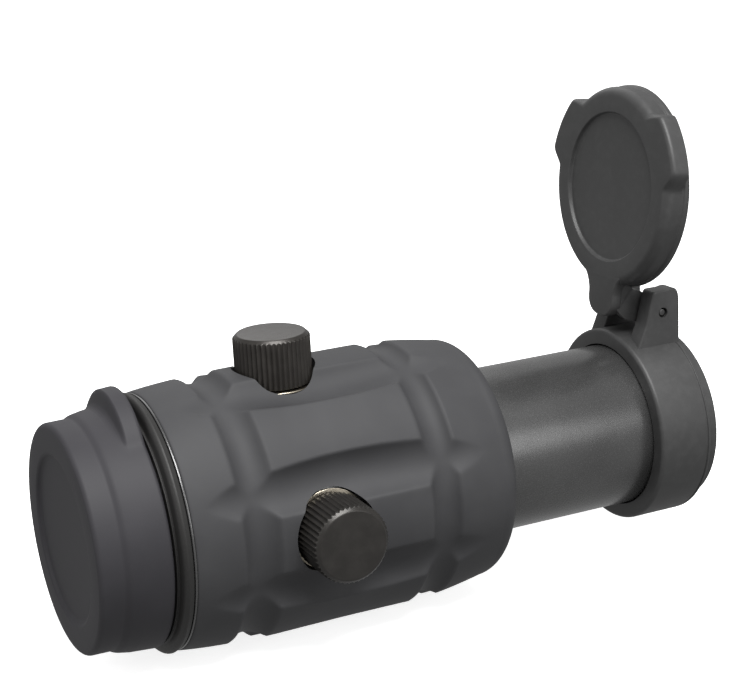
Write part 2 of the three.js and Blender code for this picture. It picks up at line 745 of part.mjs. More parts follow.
// Gimbal: the ring turns on two side pins for elevation, the tube on two upright pins for windage
function gimbalRing() {
  const half = gimbal.width / 2;
  const blank = ring(gimbalInner, gimbalOuter, gimbal.place - half, gimbal.place + half);
  const hole = rod(gimbal.pinRadius + slipGap, -gimbalOuter - overrun, gimbalOuter + overrun);
  const sideways = alongX(hole.clone()).translate(0, gimbal.place, 0);
  const upright = alongZ(hole).translate(0, gimbal.place, 0);
  return cut(blank, sideways, upright);
}

function gimbalGroup() {
  place('gimbal_ring', gimbalRing(), finishes.anodisedTube);
  const sideFrom = gimbalInner + gimbal.pinDepth;
  const sideTo = housing.radius - gimbal.pinDepth;
  const uprightFrom = erectorRadius - erector.wall + slipGap;
  for (const [name, side] of [['left', -1], ['right', 1]]) {
    const pin = rod(gimbal.pinRadius, sideFrom, sideTo);
    place(`gimbal_${name}_pin`, alongX(pin).rotateZ(side < 0 ? Math.PI : 0).translate(0, gimbal.place, 0), finishes.steel);
  }
  for (const [name, side] of [['lower', -1], ['upper', 1]]) {
    const pin = rod(gimbal.pinRadius, uprightFrom, gimbalOuter);
    place(`gimbal_${name}_pin`, alongZ(pin).rotateX(side < 0 ? Math.PI : 0).translate(0, gimbal.place, 0), finishes.steel);
  }
}

// Leaf spring: a bowed strip opposite the two turrets that pushes the erector tube back against them
function leafSpring() {
  const foot = housing.boreRadius - fitGap - leaf.thickness;
  const crest = erectorRadius + fitGap;
  const from = -leaf.rear;
  const to = leaf.front;
  const rise = (share) => foot - (foot - crest) * Math.sin(Math.PI * share);
  const lengthShares = [0, 0.12, 0.25, 0.38, 0.5, 0.62, 0.75, 0.88, 1];
  const inner = lengthShares.map((share) => [from + (to - from) * share, rise(share)]);
  const outer = inner.map(([y, z]) => [y, z + leaf.thickness]).reverse();
  const half = leaf.width / 2;
  return slab([...inner, ...outer], -half, half).rotateY(leafAngle);
}

// Flip cover collar: it grips the end of the tube and carries two hinge ears on top
function earOutline() {
  const flareShares = [[1, 0], [0.82, 0.17], [0.6, 0.38], [0.35, 0.66], [0.15, 0.88], [0, 1]];
  const rear = hingeY - ear.behind;
  const top = hingeZ + ear.top;
  const foot = collarRadius - ear.foot;
  const flareTop = hingeZ + ear.shoulder;
  const flareRear = collarRear + collar.rearRound / 2;
  return [
    [flareRear, foot],
    [collarFront, foot],
    ...arc(collarFront - ear.round, top + ear.lip - ear.round, ear.round, 0, 90),
    [collarFront - 2 * ear.round, top],
    ...arc(rear + ear.round / 2, top - ear.round / 2, ear.round / 2, 90, 180, 2),
    ...flareShares.reverse().slice(0, -1)
      .map(([back, down]) => [rear + (flareRear - rear) * back, foot + (flareTop - foot) * down]),
  ];
}

function coverCollar() {
  const round = collar.rearRound;
  const spigotRadius = collarBoreRadius + collar.spigotWall;
  const blank = turned([
    [0, collarRear],
    ...arc(collarRadius - round, collarRear + round, round, -90, 0),
    [collarRadius, collarFront],
    [spigotRadius, collarFront],
    [spigotRadius, spigotFront],
    [0, spigotFront],
  ]);
  const earRight = slab(earOutline(), ear.inner, earOuter);
  const earLeft = slab(earOutline(), -earOuter, -ear.inner);
  const tubeHole = rod(collarBoreRadius, collarRear - overrun, spigotFront - collar.lipThickness, largeSides);
  const window = rod(collarBoreRadius - collar.lipReach, collarRear, spigotFront + overrun, largeSides);
  const pinHole = alongX(rod(hinge.holeRadius, -earOuter - overrun, earOuter + overrun));
  return cut(joined(blank, earRight, earLeft), tubeHole, window, pinHole.translate(0, hingeY, hingeZ));
}

function hingePin() {
  return alongX(rod(hinge.pinRadius, -earOuter + fitGap, earOuter - fitGap)).translate(0, hingeY, hingeZ);
}

// Torsion spring: coils round the hinge pin with one leg on the collar and one on the lid
function torsionSpring() {
  const coil = (angle) => [spring.coilRadius * Math.cos(angle), spring.coilRadius * Math.sin(angle)];
  const steps = spring.turns * spring.stepsPerTurn;
  const start = -Math.PI / 2;
  const halfWidth = cheekInner - spring.sideGap;
  const legEnd = (x) => new THREE.Vector3(x, hingeY - spring.legReach, hingeZ - spring.coilRadius);
  const points = [legEnd(-halfWidth)];
  for (let i = 0; i <= steps; i++) {
    const [y, z] = coil(start + (2 * Math.PI * i) / spring.stepsPerTurn);
    const x = -halfWidth + (2 * halfWidth * i) / steps;
    points.push(new THREE.Vector3(x, hingeY + y, hingeZ + z));
  }
  points.push(legEnd(halfWidth));
  const section = new THREE.Shape(Array.from({ length: spring.sides }, (_, i) => {
    const angle = (2 * Math.PI * i) / spring.sides;
    return new THREE.Vector2(spring.wireRadius * Math.cos(angle), spring.wireRadius * Math.sin(angle));
  }));
  const path = new THREE.CatmullRomCurve3(points);
  return new THREE.ExtrudeGeometry(section, { steps: points.length - 1, extrudePath: path, bevelEnabled: false });
}

// Lid: drawn closed about the hinge pin, then swung open
function lidOutline() {
  const inner = lidRadius - lid.wall;
  const recessRadius = lidRadius - lid.recessInset;
  return [
    [0, lidInside],
    [inner, lidInside],
    [inner, lidMouth],
    [lidRadius + lid.rimLip, lidMouth],
    [lidRadius + lid.rimLip, lidMouth + lid.rimLipWidth],
    [lidRadius, lidMouth + lid.rimLipWidth + lid.rimLip],
    ...arc(lidRadius - lid.edge, lidFace - lid.edge, lid.edge, 0, 90),
    [recessRadius, lidFace],
    [recessRadius - lid.recessDepth / 2, lidFace - lid.recessDepth],
    [0, lidFace - lid.recessDepth],
  ];
}

function lugOutline(side) {
  const from = -90 + side * lug.fromDegrees;
  const to = -90 + side * lug.toDegrees;
  const inner = lidRadius - lid.wall + lug.bevel / 2;
  const outer = lidRadius + lug.height;
  const turn = side * THREE.MathUtils.radToDeg(lug.corner / outer);
  const points = [
    ...arc(0, 0, outer - lug.corner, from, from, 1).slice(1),
    ...arc(0, 0, outer, from + turn, to - turn, 6),
    ...arc(0, 0, outer - lug.corner, to, to, 1).slice(1),
    ...arc(0, 0, inner, to, from, 4),
  ];
  return side < 0 ? points.reverse() : points;
}

function cheekOutline() {
  const back = lidFace - arm.thickness / 2;
  return [
    ...arc(0, 0, hinge.barrel, 200, 300, 4),
    [back, -arm.cheekFoot],
    [back, arm.past / 2],
    ...arc(0, 0, hinge.barrel, 60, 160, 4),
  ];
}

function armOutline() {
  const foot = -hingeZ + lidRadius - lid.edge - lid.wall;
  return [
    [-armHalfWidth, foot],
    [armHalfWidth, foot],
    ...arc(armHalfWidth - arm.past, 0, arm.past, 0, 90),
    ...arc(-armHalfWidth + arm.past, 0, arm.past, 90, 180),
  ];
}

function flipLid() {
  const cup = turned(lidOutline()).translate(0, 0, -hingeZ);
  const lugTop = lidFace - lug.inset;
  const lugs = [-1, 1].map((side) => plate(lugOutline(side), lugTop - lug.thickness, lugTop, lug.bevel)
    .translate(0, 0, -hingeZ));
  const armPlate = plate(armOutline(), lidFace - arm.thickness, lidFace, 0);
  const cheeks = [
    slab(cheekOutline(), cheekInner, cheekOuter),
    slab(cheekOutline(), -cheekOuter, -cheekInner),
  ];
  const pinHole = alongX(rod(hinge.pinRadius + fitGap, -armHalfWidth - overrun, armHalfWidth + overrun));
  return cut(joined(cup, ...lugs, armPlate, ...cheeks), pinHole);
}

function flipCover() {
  place('cover_collar', coverCollar(), finishes.coverPlastic);
  place('lid_hinge_pin', hingePin(), finishes.steel);
  place('lid_torsion_spring', torsionSpring(), finishes.steel);
  const swing = new THREE.Group();
  swing.position.set(0, hingeY, hingeZ);
  swing.rotation.x = THREE.MathUtils.degToRad(hinge.openAngleDegrees);
  body.add(swing);
  place('flip_lid', flipLid(), finishes.coverPlastic, swing);
}

place('main_tube', mainTube(), finishes.anodisedTube);
place('rubber_armour', rubberArmour(), finishes.armourRubber);
objectiveGroup();
eyepieceGroup();
place('dioptre_ring', dioptreRing(), finishes.anodisedTube);
place('eyepiece_cap', eyepieceCap(), finishes.armourRubber);
turret('elevation', 0);
turret('windage', Math.PI / 2);
erectorGroup();
gimbalGroup();
place('leaf_spring', leafSpring(), finishes.steel);
flipCover();

export default finder;
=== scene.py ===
import json
import math

import bpy
from mathutils import Matrix, Vector


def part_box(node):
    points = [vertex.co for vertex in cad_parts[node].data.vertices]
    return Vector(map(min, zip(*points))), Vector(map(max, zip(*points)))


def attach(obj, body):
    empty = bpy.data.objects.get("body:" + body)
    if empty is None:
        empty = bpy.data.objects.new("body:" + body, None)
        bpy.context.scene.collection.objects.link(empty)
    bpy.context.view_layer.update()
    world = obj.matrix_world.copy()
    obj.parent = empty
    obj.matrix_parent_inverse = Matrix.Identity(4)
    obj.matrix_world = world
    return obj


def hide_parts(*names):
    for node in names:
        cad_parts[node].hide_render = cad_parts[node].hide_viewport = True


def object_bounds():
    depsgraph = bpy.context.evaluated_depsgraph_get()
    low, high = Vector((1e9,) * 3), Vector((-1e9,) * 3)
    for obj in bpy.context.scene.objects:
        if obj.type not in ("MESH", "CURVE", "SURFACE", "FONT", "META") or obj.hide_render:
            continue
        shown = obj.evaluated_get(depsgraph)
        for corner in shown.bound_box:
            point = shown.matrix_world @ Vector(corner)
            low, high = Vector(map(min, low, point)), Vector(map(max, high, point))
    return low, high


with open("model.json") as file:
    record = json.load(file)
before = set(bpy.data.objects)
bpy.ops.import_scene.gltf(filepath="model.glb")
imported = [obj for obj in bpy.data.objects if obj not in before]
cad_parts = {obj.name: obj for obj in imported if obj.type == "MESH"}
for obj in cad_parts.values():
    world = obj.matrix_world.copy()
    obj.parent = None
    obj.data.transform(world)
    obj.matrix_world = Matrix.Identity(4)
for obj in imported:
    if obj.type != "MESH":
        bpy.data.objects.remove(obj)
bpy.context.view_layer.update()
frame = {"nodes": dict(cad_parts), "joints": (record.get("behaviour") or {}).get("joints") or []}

mm = 0.001
weld = 1e-6         # in m: vertices nearer to one another than this are one
samePlace = 1e-7    # in m: a vertex this near to a drawn point is that point's
nearly = 0.01       # in mm: what rounding may add to a place

# The turret axes cross here, and places along the sight are mm ahead of them
turretLow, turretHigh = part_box("elevation_cap")
turretY = (turretLow[1] + turretHigh[1]) / 2
hingeJoint = next(joint for joint in frame["joints"] if joint["name"] == "lid_hinge")
hinge = Vector(hingeJoint["pos_m"])


# selecting and placing

def deselectAll():
    if bpy.context.object and bpy.context.object.mode != "OBJECT":
        bpy.ops.object.mode_set(mode="OBJECT")
    bpy.ops.object.select_all(action="DESELECT")


def pick(obj):
    deselectAll()
    obj.select_set(True)
    bpy.context.view_layer.objects.active = obj


def edit(obj):
    pick(obj)
    bpy.ops.object.mode_set(mode="EDIT")
    bpy.ops.mesh.select_mode(type="VERT")
    bpy.ops.mesh.select_all(action="SELECT")


def leaveEdit():
    bpy.ops.object.mode_set(mode="OBJECT")


def selectVertices(obj, wanted):
    # chosen in object mode, by place
    for face in obj.data.polygons:
        face.select = False
    for edge in obj.data.edges:
        edge.select = False
    for vertex in obj.data.vertices:
        vertex.select = wanted(vertex.co)


def applyModifier(obj, kind, **settings):
    pick(obj)
    modifier = obj.modifiers.new(kind.lower(), kind)
    for key, value in settings.items():
        setattr(modifier, key, value)
    bpy.ops.object.modifier_apply(modifier=modifier.name)


def applyPlace(obj, turn=None):
    # puts the object's place into its mesh
    if turn is not None:
        obj.matrix_world = turn @ obj.matrix_world
    pick(obj)
    bpy.ops.object.transform_apply(location=True, rotation=True, scale=True)


def smooth(obj, sharp=35):
    # edges of more than this many degrees stay sharp
    pick(obj)
    bpy.ops.object.shade_smooth_by_angle(angle=math.radians(sharp))


def easeEdges(obj, width, segments=3, sharp=50):
    # rounds every edge of more than this many degrees
    applyModifier(
        obj, "BEVEL", width=width * mm, segments=segments, limit_method="ANGLE",
        angle_limit=math.radians(sharp))


def closeUp(obj):
    edit(obj)
    bpy.ops.mesh.remove_doubles(threshold=weld)
    bpy.ops.mesh.normals_make_consistent(inside=False)
    leaveEdit()


def boolean(obj, tool, operation="DIFFERENCE"):
    applyModifier(obj, "BOOLEAN", operation=operation, object=tool, solver="EXACT")
    bpy.data.objects.remove(tool, do_unlink=True)


def twin(obj, name, turn):
    # a copy with its own mesh, turned to its place
    pick(obj)
    bpy.ops.object.duplicate()
    copy = bpy.context.object
    copy.name = copy.data.name = name
    applyPlace(copy, turn)
    return copy


# outlines, turned pieces and plates

def chain(name, points, flat):
    # a chain of vertices drawn point by point; each point is (across, along, rounding)
    deselectAll()
    bpy.ops.mesh.primitive_plane_add(size=mm, location=(0, 0, 0))
    obj = bpy.context.object
    obj.name = obj.data.name = name
    bpy.ops.object.mode_set(mode="EDIT")
    bpy.ops.mesh.merge(type="CENTER")
    places = [flat(point[0] * mm, point[1] * mm) for point in points]
    bpy.ops.transform.translate(value=places[0])
    for before, after in zip(places, places[1:]):
        bpy.ops.mesh.extrude_vertices_move(TRANSFORM_OT_translate={"value": after - before})
    leaveEdit()
    return obj, places


def roundCorners(obj, points, places, segments):
    for point, place in zip(points, places):
        if len(point) > 2 and point[2] > 0:
            selectVertices(obj, lambda co: (co - place).length < samePlace)
            bpy.ops.object.mode_set(mode="EDIT")
            bpy.ops.mesh.select_mode(type="VERT")
            bpy.ops.mesh.bevel(
                offset=point[2] * mm, offset_type="OFFSET", segments=segments, profile=0.5, affect="VERTICES")
            leaveEdit()


def closeLoop(obj, places):
    # joins the last point of a chain to the first
    ends = (places[0], places[-1])
    selectVertices(obj, lambda co: min((co - end).length for end in ends) < samePlace)
    bpy.ops.object.mode_set(mode="EDIT")
    bpy.ops.mesh.edge_face_add()
    leaveEdit()


def turned(name, points, columns=192, rounds=5, at=(0, turretY, 0)):
    # points are (radius, place ahead of the turrets, rounding) and spin round an axis along Y
    obj, places = chain(name, points, lambda across, along: Vector((across, along, 0)))
    if points[0][0] > 0:
        closeLoop(obj, places)
    roundCorners(obj, points, places, rounds)
    edit(obj)
    bpy.ops.mesh.spin(steps=columns, angle=math.radians(360), center=(0, 0, 0), axis=(0, 1, 0))
    leaveEdit()
    closeUp(obj)
    obj.location = at
    applyPlace(obj)
    return obj


def sideways(along, up):
    # lays an outline of (place, height, rounding) in the plane across X
    return Vector((0, along, up))


def slab(name, points, flat, depth, rounds=4):
    # an outline laid in a plane by flat, then drawn out by depth, in m
    obj, places = chain(name, points, flat)
    closeLoop(obj, places)
    roundCorners(obj, points, places, rounds)
    edit(obj)
    bpy.ops.mesh.edge_face_add()
    bpy.ops.mesh.extrude_region_move(TRANSFORM_OT_translate={"value": depth})
    bpy.ops.mesh.select_all(action="SELECT")
    bpy.ops.mesh.normals_make_consistent(inside=False)
    leaveEdit()
    return obj


def rod(radius, length, turn, at, sides=96):
    # a round cutter along its own Z, from its middle
    deselectAll()
    bpy.ops.mesh.primitive_cylinder_add(
        vertices=sides, radius=radius * mm, depth=length * mm, location=(0, 0, 0))
    obj = bpy.context.object
    applyPlace(obj, Matrix.Translation(at) @ turn)
    return obj


def block(size, at):
    # a square cutter round the point at, both in mm
    deselectAll()
    bpy.ops.mesh.primitive_cube_add(size=1, location=[place * mm for place in at])
    obj = bpy.context.object
    obj.scale = [edge * mm for edge in size]
    applyPlace(obj)
    return obj


def cutAtTurrets(obj, holes, sides=96):
    # round holes of (radius, from, to) along both turret axes
    for turn in (Matrix.Identity(4), crosswise):
        out = (turn @ Vector((0, 0, 1))) * mm
        for radius, low, high in holes:
            middle = Vector((0, turretY, 0)) + out * (high + low) / 2
            boolean(obj, rod(radius, high - low, turn, middle, sides))


def reshape(obj, newRadius):
    # moves each vertex in or out; newRadius takes radius, angle from the top and place, all in mm
    for vertex in obj.data.vertices:
        x, y, z = vertex.co
        radius = math.hypot(x, z)
        if radius > weld:
            wanted = newRadius(radius / mm, math.atan2(x, z), (y - turretY) / mm) * mm
            vertex.co = (x * wanted / radius, y, z * wanted / radius)


def steps(first, last, size):
    # places from first up to last, no further apart than size
    count = max(1, math.ceil(abs(last - first) / size))
    return [first + (last - first) * i / count for i in range(count)]


def easeIn(value, first, last):
    # from nought to one, level at both ends
    share = min(max((value - first) / (last - first), 0), 1)
    return share * share * (3 - 2 * share)


def softMax(first, second, blend):
    # the larger of the two, rounded where they cross
    return (first + second + math.sqrt((first - second) ** 2 + blend ** 2)) / 2


toUpright = Matrix.Translation((0, turretY, 0)) @ Matrix.Rotation(math.radians(90), 4, "X")
toSide = Matrix.Translation((0, turretY, 0)) @ Matrix.Rotation(math.radians(90), 4, "Y") \
    @ Matrix.Translation((0, -turretY, 0))
crosswise = Matrix.Rotation(math.radians(90), 4, "Y")
lengthwise = Matrix.Rotation(math.radians(90), 4, "X")


# camera, floor and light

camera = {
    "place": (0.28202, -0.16581, 0.11096),
    "azimuth": 64.692,
    "elevation": 15.441,
    "roll": -3.011,
    "lens": 89.18,
    "sensor": 36,
    "near": 0.01,
}
stage = {"floor": 8.0, "floorGap": 0.0002, "floorGlow": 0.8, "sky": 0.44, "aim": (0, -0.02, 0.01)}
lights = {
    "overheadLight": {"place": (0.27, -0.06, 0.53), "size": 0.38, "power": 5.8},
    "backLight": {"place": (-0.55, 0.1, 0.45), "size": 0.5, "power": 0.8},
    "sideLight": {"place": (0.42, 0.16, 0.16), "size": 0.3, "power": 0.5},
    "faceLight": {"place": (0.0, -0.36, 0.12), "size": 0.15, "power": 0.16, "target": (0, -0.09, 0)},
}


def aimCamera():
    azimuth, elevation, roll = (math.radians(camera[key]) for key in ("azimuth", "elevation", "roll"))
    back = Vector((
        math.sin(azimuth) * math.cos(elevation),
        -math.cos(azimuth) * math.cos(elevation),
        math.sin(elevation)))
    right = Vector((math.cos(azimuth), math.sin(azimuth), 0))
    up = back.cross(right)
    rolledRight = right * math.cos(roll) + up * math.sin(roll)
    rolledUp = up * math.cos(roll) - right * math.sin(roll)
    turn = Matrix((rolledRight, rolledUp, back)).transposed().to_4x4()
    bpy.ops.object.camera_add()
    eye = bpy.context.object
    eye.name = "photoCamera"
    eye.matrix_world = Matrix.Translation(camera["place"]) @ turn
    eye.data.lens = camera["lens"]
    eye.data.sensor_width = camera["sensor"]
    eye.data.clip_start = camera["near"]
    bpy.context.scene.camera = eye


def softLight(name, place, size, power, target=stage["aim"]):
    bpy.ops.object.light_add(type="AREA", location=place)
    light = bpy.context.object
    light.name = name
    light.data.shape = "DISK"
    light.data.size = size
    light.data.energy = power
    aim = Vector(place) - Vector(target)
    light.rotation_euler = aim.to_track_quat("Z", "Y").to_euler()


deselectAll()
aimCamera()
for lightName, light in lights.items():
    softLight(lightName, **light)
bpy.context.scene.view_settings.view_transform = "Standard"
world = bpy.data.worlds.new("paleRoom")
bpy.context.scene.world = world
world.use_nodes = True
world.node_tree.nodes["Background"].inputs["Color"].default_value = (1.0, 1.0, 1.0, 1)
world.node_tree.nodes["Background"].inputs["Strength"].default_value = stage["sky"]
print("camera and lights")


# shader maths

class Wire:
    # one socket of a material; an expression with it adds Math nodes
    def __init__(self, finish, socket):
        self.finish = finish
        self.socket = socket

    def maths(self, operation, first, second):
        return self.finish.node("ShaderNodeMath", {"operation": operation}, {0: first, 1: second})

    def __add__(self, other):
        return self.maths("ADD", self, other)

    def __radd__(self, other):
        return self.maths("ADD", other, self)

    def __sub__(self, other):
        return self.maths("SUBTRACT", self, other)

    def __rsub__(self, other):
        return self.maths("SUBTRACT", other, self)

    def __mul__(self, other):
        return self.maths("MULTIPLY", self, other)

    def __rmul__(self, other):
        return self.maths("MULTIPLY", other, self)

    def __pow__(self, other):
        return self.maths("POWER", self, other)

    def clamped(self):
        return self.finish.node("ShaderNodeClamp", {}, {"Value": self})


class Finish:
    # one procedural material; fixed numbers go straight on the shader's own sockets
    def __init__(self, name, **fixed):
        self.material = bpy.data.materials.new(name)
        self.material.use_nodes = True
        self.tree = self.material.node_tree
        self.tree.nodes.clear()
        output = self.tree.nodes.new("ShaderNodeOutputMaterial")
        self.shader = self.tree.nodes.new("ShaderNodeBsdfPrincipled")
        self.tree.links.new(self.shader.outputs[0], output.inputs[0])
        for socket, value in fixed.items():
            self.shader.inputs[socket.replace("_", " ")].default_value = value
        self.place = self.node("ShaderNodeTexCoord", {}, {}, "Object")

    def node(self, kind, settings, sockets, out=0):
        node = self.tree.nodes.new(kind)
        for key, value in settings.items():
            setattr(node, key, value)
        for key, value in sockets.items():
            if isinstance(value, Wire):
                self.tree.links.new(value.socket, node.inputs[key])
            else:
                node.inputs[key].default_value = value
        return Wire(self, node.outputs[out])

    def noise(self, size, detail=2, roughness=0.5, stretch=(1, 1, 1)):
        # size is the grain in mm
        where = self.node("ShaderNodeMapping", {}, {"Vector": self.place, "Scale": stretch})
        values = {"Vector": where, "Scale": 1 / (size * mm), "Detail": detail, "Roughness": roughness}
        return self.node("ShaderNodeTexNoise", {}, values)

    def mix(self, amount, first, second):
        # sockets 6 and 7 and output 2 are the Mix node's colours
        values = {0: amount, 6: first, 7: second}
        return self.node("ShaderNodeMix", {"data_type": "RGBA", "clamp_factor": True}, values, 2)

    def bump(self, height, depth, strength):
        # depth in mm
        return self.node("ShaderNodeBump", {}, {"Strength": strength, "Distance": depth * mm, "Height": height})

    def feed(self, **links):
        for socket, wire in links.items():
            self.tree.links.new(wire.socket, self.shader.inputs[socket.replace("_", " ")])
        return self.material


def grey(value, warm=0.0):
    # a dark neutral; warm leans to brown
    return (value * (1 + warm), value, value * (1 - warm), 1)


def rubberFinish(name, base, dusty, roughness):
    finish = Finish(name, Specular_IOR_Level=0.32)
    cloud = finish.noise(9, 3)
    grain = finish.noise(0.16, 3, 0.65)
    pores = finish.noise(0.55, 2, 0.5)
    dust = ((cloud - 0.42) * 2.2 + (grain - 0.5) * 0.7).clamped()
    colour = finish.mix(dust * 0.55, base, dusty)
    height = grain * 0.7 + pores * 0.3
    return finish.feed(
        Base_Color=colour,
        Roughness=roughness + (grain - 0.5) * 0.14 + (cloud - 0.5) * 0.08,
        Normal=finish.bump(height, 0.022, 0.5))


def anodisedFinish(name, base, paintedGlintColour, roughness, metal, grainSize=0.11):
    # bead-blasted and dyed: the grain's bump makes each tiny facet throw the light its own way, and bright specks
    # mixed into the colour are painted glints
    finish = Finish(name, Metallic=metal, Specular_IOR_Level=0.5)
    grain = finish.noise(grainSize, 2, 0.7)
    coarse = finish.noise(grainSize * 3.2, 2, 0.6)
    cloud = finish.noise(14, 2)
    # painted glints: bright specks of the second colour stand in for facets catching the light
    paintedGlintMask = ((grain - 0.56) * 5.0).clamped()
    colour = finish.mix(paintedGlintMask * 0.4 + cloud * 0.2, base, paintedGlintColour)
    return finish.feed(
        Base_Color=colour,
        Roughness=roughness + (coarse - 0.5) * 0.12 + (cloud - 0.5) * 0.06,
        Normal=finish.bump(grain * 0.65 + coarse * 0.35, 0.016, 0.36))


def mouldedFinish(name, base, light, roughness):
    # plastic from a spark-eroded mould, with slight flow marks
    finish = Finish(name, Specular_IOR_Level=0.45)
    grain = finish.noise(0.2, 3, 0.6)
    mottle = finish.noise(1.6, 3, 0.6)
    flow = finish.noise(11, 2, 0.5, (1, 1, 0.35))
    colour = finish.mix(((mottle - 0.45) * 2.4).clamped() * 0.5 + (flow - 0.4) * 0.4, base, light)
    return finish.feed(
        Base_Color=colour,
        Roughness=roughness + (mottle - 0.5) * 0.16 + (grain - 0.5) * 0.1,
        Normal=finish.bump(grain * 0.6 + mottle * 0.4, 0.018, 0.5))


def turnedFinish(name, base, bright, roughness, metal, axis, pitch=0.14, depth=0.006):
    # metal that shows the fine rings of the lathe round one axis through the turrets
    finish = Finish(name, Metallic=metal)
    centre = finish.node("ShaderNodeMapping", {}, {"Vector": finish.place, "Location": (0, -turretY, 0)})
    parts = [finish.node("ShaderNodeSeparateXYZ", {}, {0: centre}, i) for i in range(3)]
    across = [part for i, part in enumerate(parts) if i != axis]
    radius = (across[0] * across[0] + across[1] * across[1]) ** 0.5
    perMetre = 2 * math.pi / (pitch * mm)
    phase = radius * perMetre + parts[axis] * perMetre
    rings = finish.node("ShaderNodeMath", {"operation": "SINE"}, {0: phase})
    grain = finish.noise(0.12, 2, 0.6)
    smear = finish.noise(2.2, 2)
    colour = finish.mix(((smear - 0.35) * 1.4).clamped() * 0.6 + (grain - 0.5) * 0.4, base, bright)
    return finish.feed(
        Base_Color=colour,
        Roughness=roughness + (smear - 0.5) * 0.14 + (grain - 0.5) * 0.12,
        Normal=finish.bump(rings * 0.5 + grain * 0.8, depth, 0.6))


def glassFinish(name, tint, coat):
    finish = Finish(
        name, Transmission_Weight=1.0, IOR=1.52, Coat_Weight=0.6, Coat_Roughness=0.02, Coat_Tint=coat)
    haze = finish.noise(6, 3)
    specks = finish.noise(0.9, 2)
    colour = finish.mix(((haze - 0.45) * 1.5).clamped(), tint, (0.93, 0.97, 0.95, 1))
    return finish.feed(Base_Color=colour, Roughness=0.015 + ((specks - 0.62) * 0.5).clamped())


alongX, alongY, alongZ = range(3)
dullBrass, brightBrass = (0.4, 0.36, 0.29, 1), (0.6, 0.55, 0.46, 1)
armourRubber = rubberFinish("armourRubber", (0.0355, 0.0355, 0.0375, 1), (0.0545, 0.0545, 0.0565, 1), 0.66)
capRubber = rubberFinish("capRubber", (0.025, 0.024, 0.0275, 1), (0.0375, 0.036, 0.041, 1), 0.62)
sealRubber = rubberFinish("sealRubber", grey(0.012), grey(0.03), 0.5)
# the second colour of each anodised finish is its painted glint
anodisedTube = anodisedFinish("anodisedTube", grey(0.062), grey(0.44), 0.27, 0.75)
dioptreSatin = anodisedFinish("dioptreSatin", grey(0.016, 0.03), grey(0.045, 0.04), 0.56, 0.3, 0.2)
innerBlack = anodisedFinish("innerBlack", grey(0.012), grey(0.04), 0.6, 0.3)
knobUpright = turnedFinish("knobUpright", grey(0.028, 0.1), grey(0.056, 0.1), 0.36, 0.5, alongZ)
# the windage cap's copy is a little darker than the elevation cap's: painted shade on the cap at the side
knobSide = turnedFinish("knobSide", grey(0.026, 0.08), grey(0.05, 0.08), 0.36, 0.5, alongX)
coverPlastic = mouldedFinish("coverPlastic", grey(0.032), grey(0.055), 0.5)
brassUpright = turnedFinish("brassUpright", dullBrass, brightBrass, 0.3, 1.0, alongZ)
brassSide = turnedFinish("brassSide", dullBrass, brightBrass, 0.3, 1.0, alongX)
springSteel = turnedFinish("springSteel", grey(0.1), grey(0.2), 0.3, 1.0, alongY, 0.3, 0.004)
lensGlass = glassFinish("lensGlass", (0.84, 0.93, 0.9, 1), (0.65, 0.9, 0.75, 1))
print("finishes")


def carry(obj, body, slotName, finish, *nodes):
    # a finished piece: its material, the body it rides on and the solids it stands for
    obj.data.materials.clear()
    obj.data.materials.append(finish)
    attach(obj, body)
    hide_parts(*nodes)


# main tube

tube = {
    "radius": 15, "housing": 20.2, "flange": 21.95, "flangeFrom": -24.4, "flangeTo": -24.0,
    "housingEnd": 30.4, "nose": 34.4, "end": 78.76, "objectiveBore": 13.4, "step": 65.76, "bore": 12.4,
    "boreStart": 38.5, "innerBore": 14, "eyeBore": 18.6, "eyeBoreEnd": -15.5,
    "seatHeight": 19.6, "seatRadius": 7.6, "stemBore": 4.3, "stemFloor": 10, "clear": 3,
    "pinBore": 1.2, "pinPlace": 26, "pinSides": 32,
}


def makeTube():
    t = tube
    obj = turned("main_tube_skin", [
        (t["eyeBore"], t["flangeFrom"], 0.15),
        (t["flange"], t["flangeFrom"], 0.12),
        (t["flange"], t["flangeTo"], 0.12),
        (t["housing"], t["flangeTo"]),
        (t["housing"], t["housingEnd"], 1.0),
        (t["radius"], t["nose"], 0.8),
        (t["radius"], t["end"], 0.35),
        (t["objectiveBore"], t["end"], 0.25),
        (t["objectiveBore"], t["step"]),
        (t["bore"], t["step"], 0.15),
        (t["bore"], t["boreStart"]),
        (t["innerBore"], t["nose"]),
        (t["innerBore"], t["eyeBoreEnd"], 0.2),
        (t["eyeBore"], t["eyeBoreEnd"]),
    ])
    top = t["housing"] + t["clear"]
    cutAtTurrets(obj, [(t["seatRadius"], t["seatHeight"], top), (t["stemBore"], t["stemFloor"], top)])
    pinHole = rod(t["pinBore"], 3 * top, crosswise, (0, turretY + t["pinPlace"] * mm, 0), t["pinSides"])
    boolean(obj, pinHole)
    smooth(obj)
    carry(obj, "housing", "anodised_tube", anodisedTube, "main_tube")


# rubber armour

armour = {
    "rear": -24, "front": 35.75, "bore": 20.5, "noseBore": 15.3, "housingEnd": 30.6, "nose": 34.5,
    "rearRadius": 22.05, "fullRadius": 23.35, "frontRadius": 21.65, "rearEdge": 0.25, "shoulder": 3.2,
    "fullFrom": 6, "fullTo": 19, "frontBow": 1.5, "skin": 0.6, "hole": 7.2, "holeFrom": 10, "holeTo": 30,
    "holeSides": 128, "rowGap": 0.4, "columns": 512, "edgeRows": 4, "shoulderRows": 12, "noseRound": 0.2,
    "padCrease": 0.12, "turretCrease": 0.3, "blend": 0.2, "rounds": 3, "sharp": 50,
}
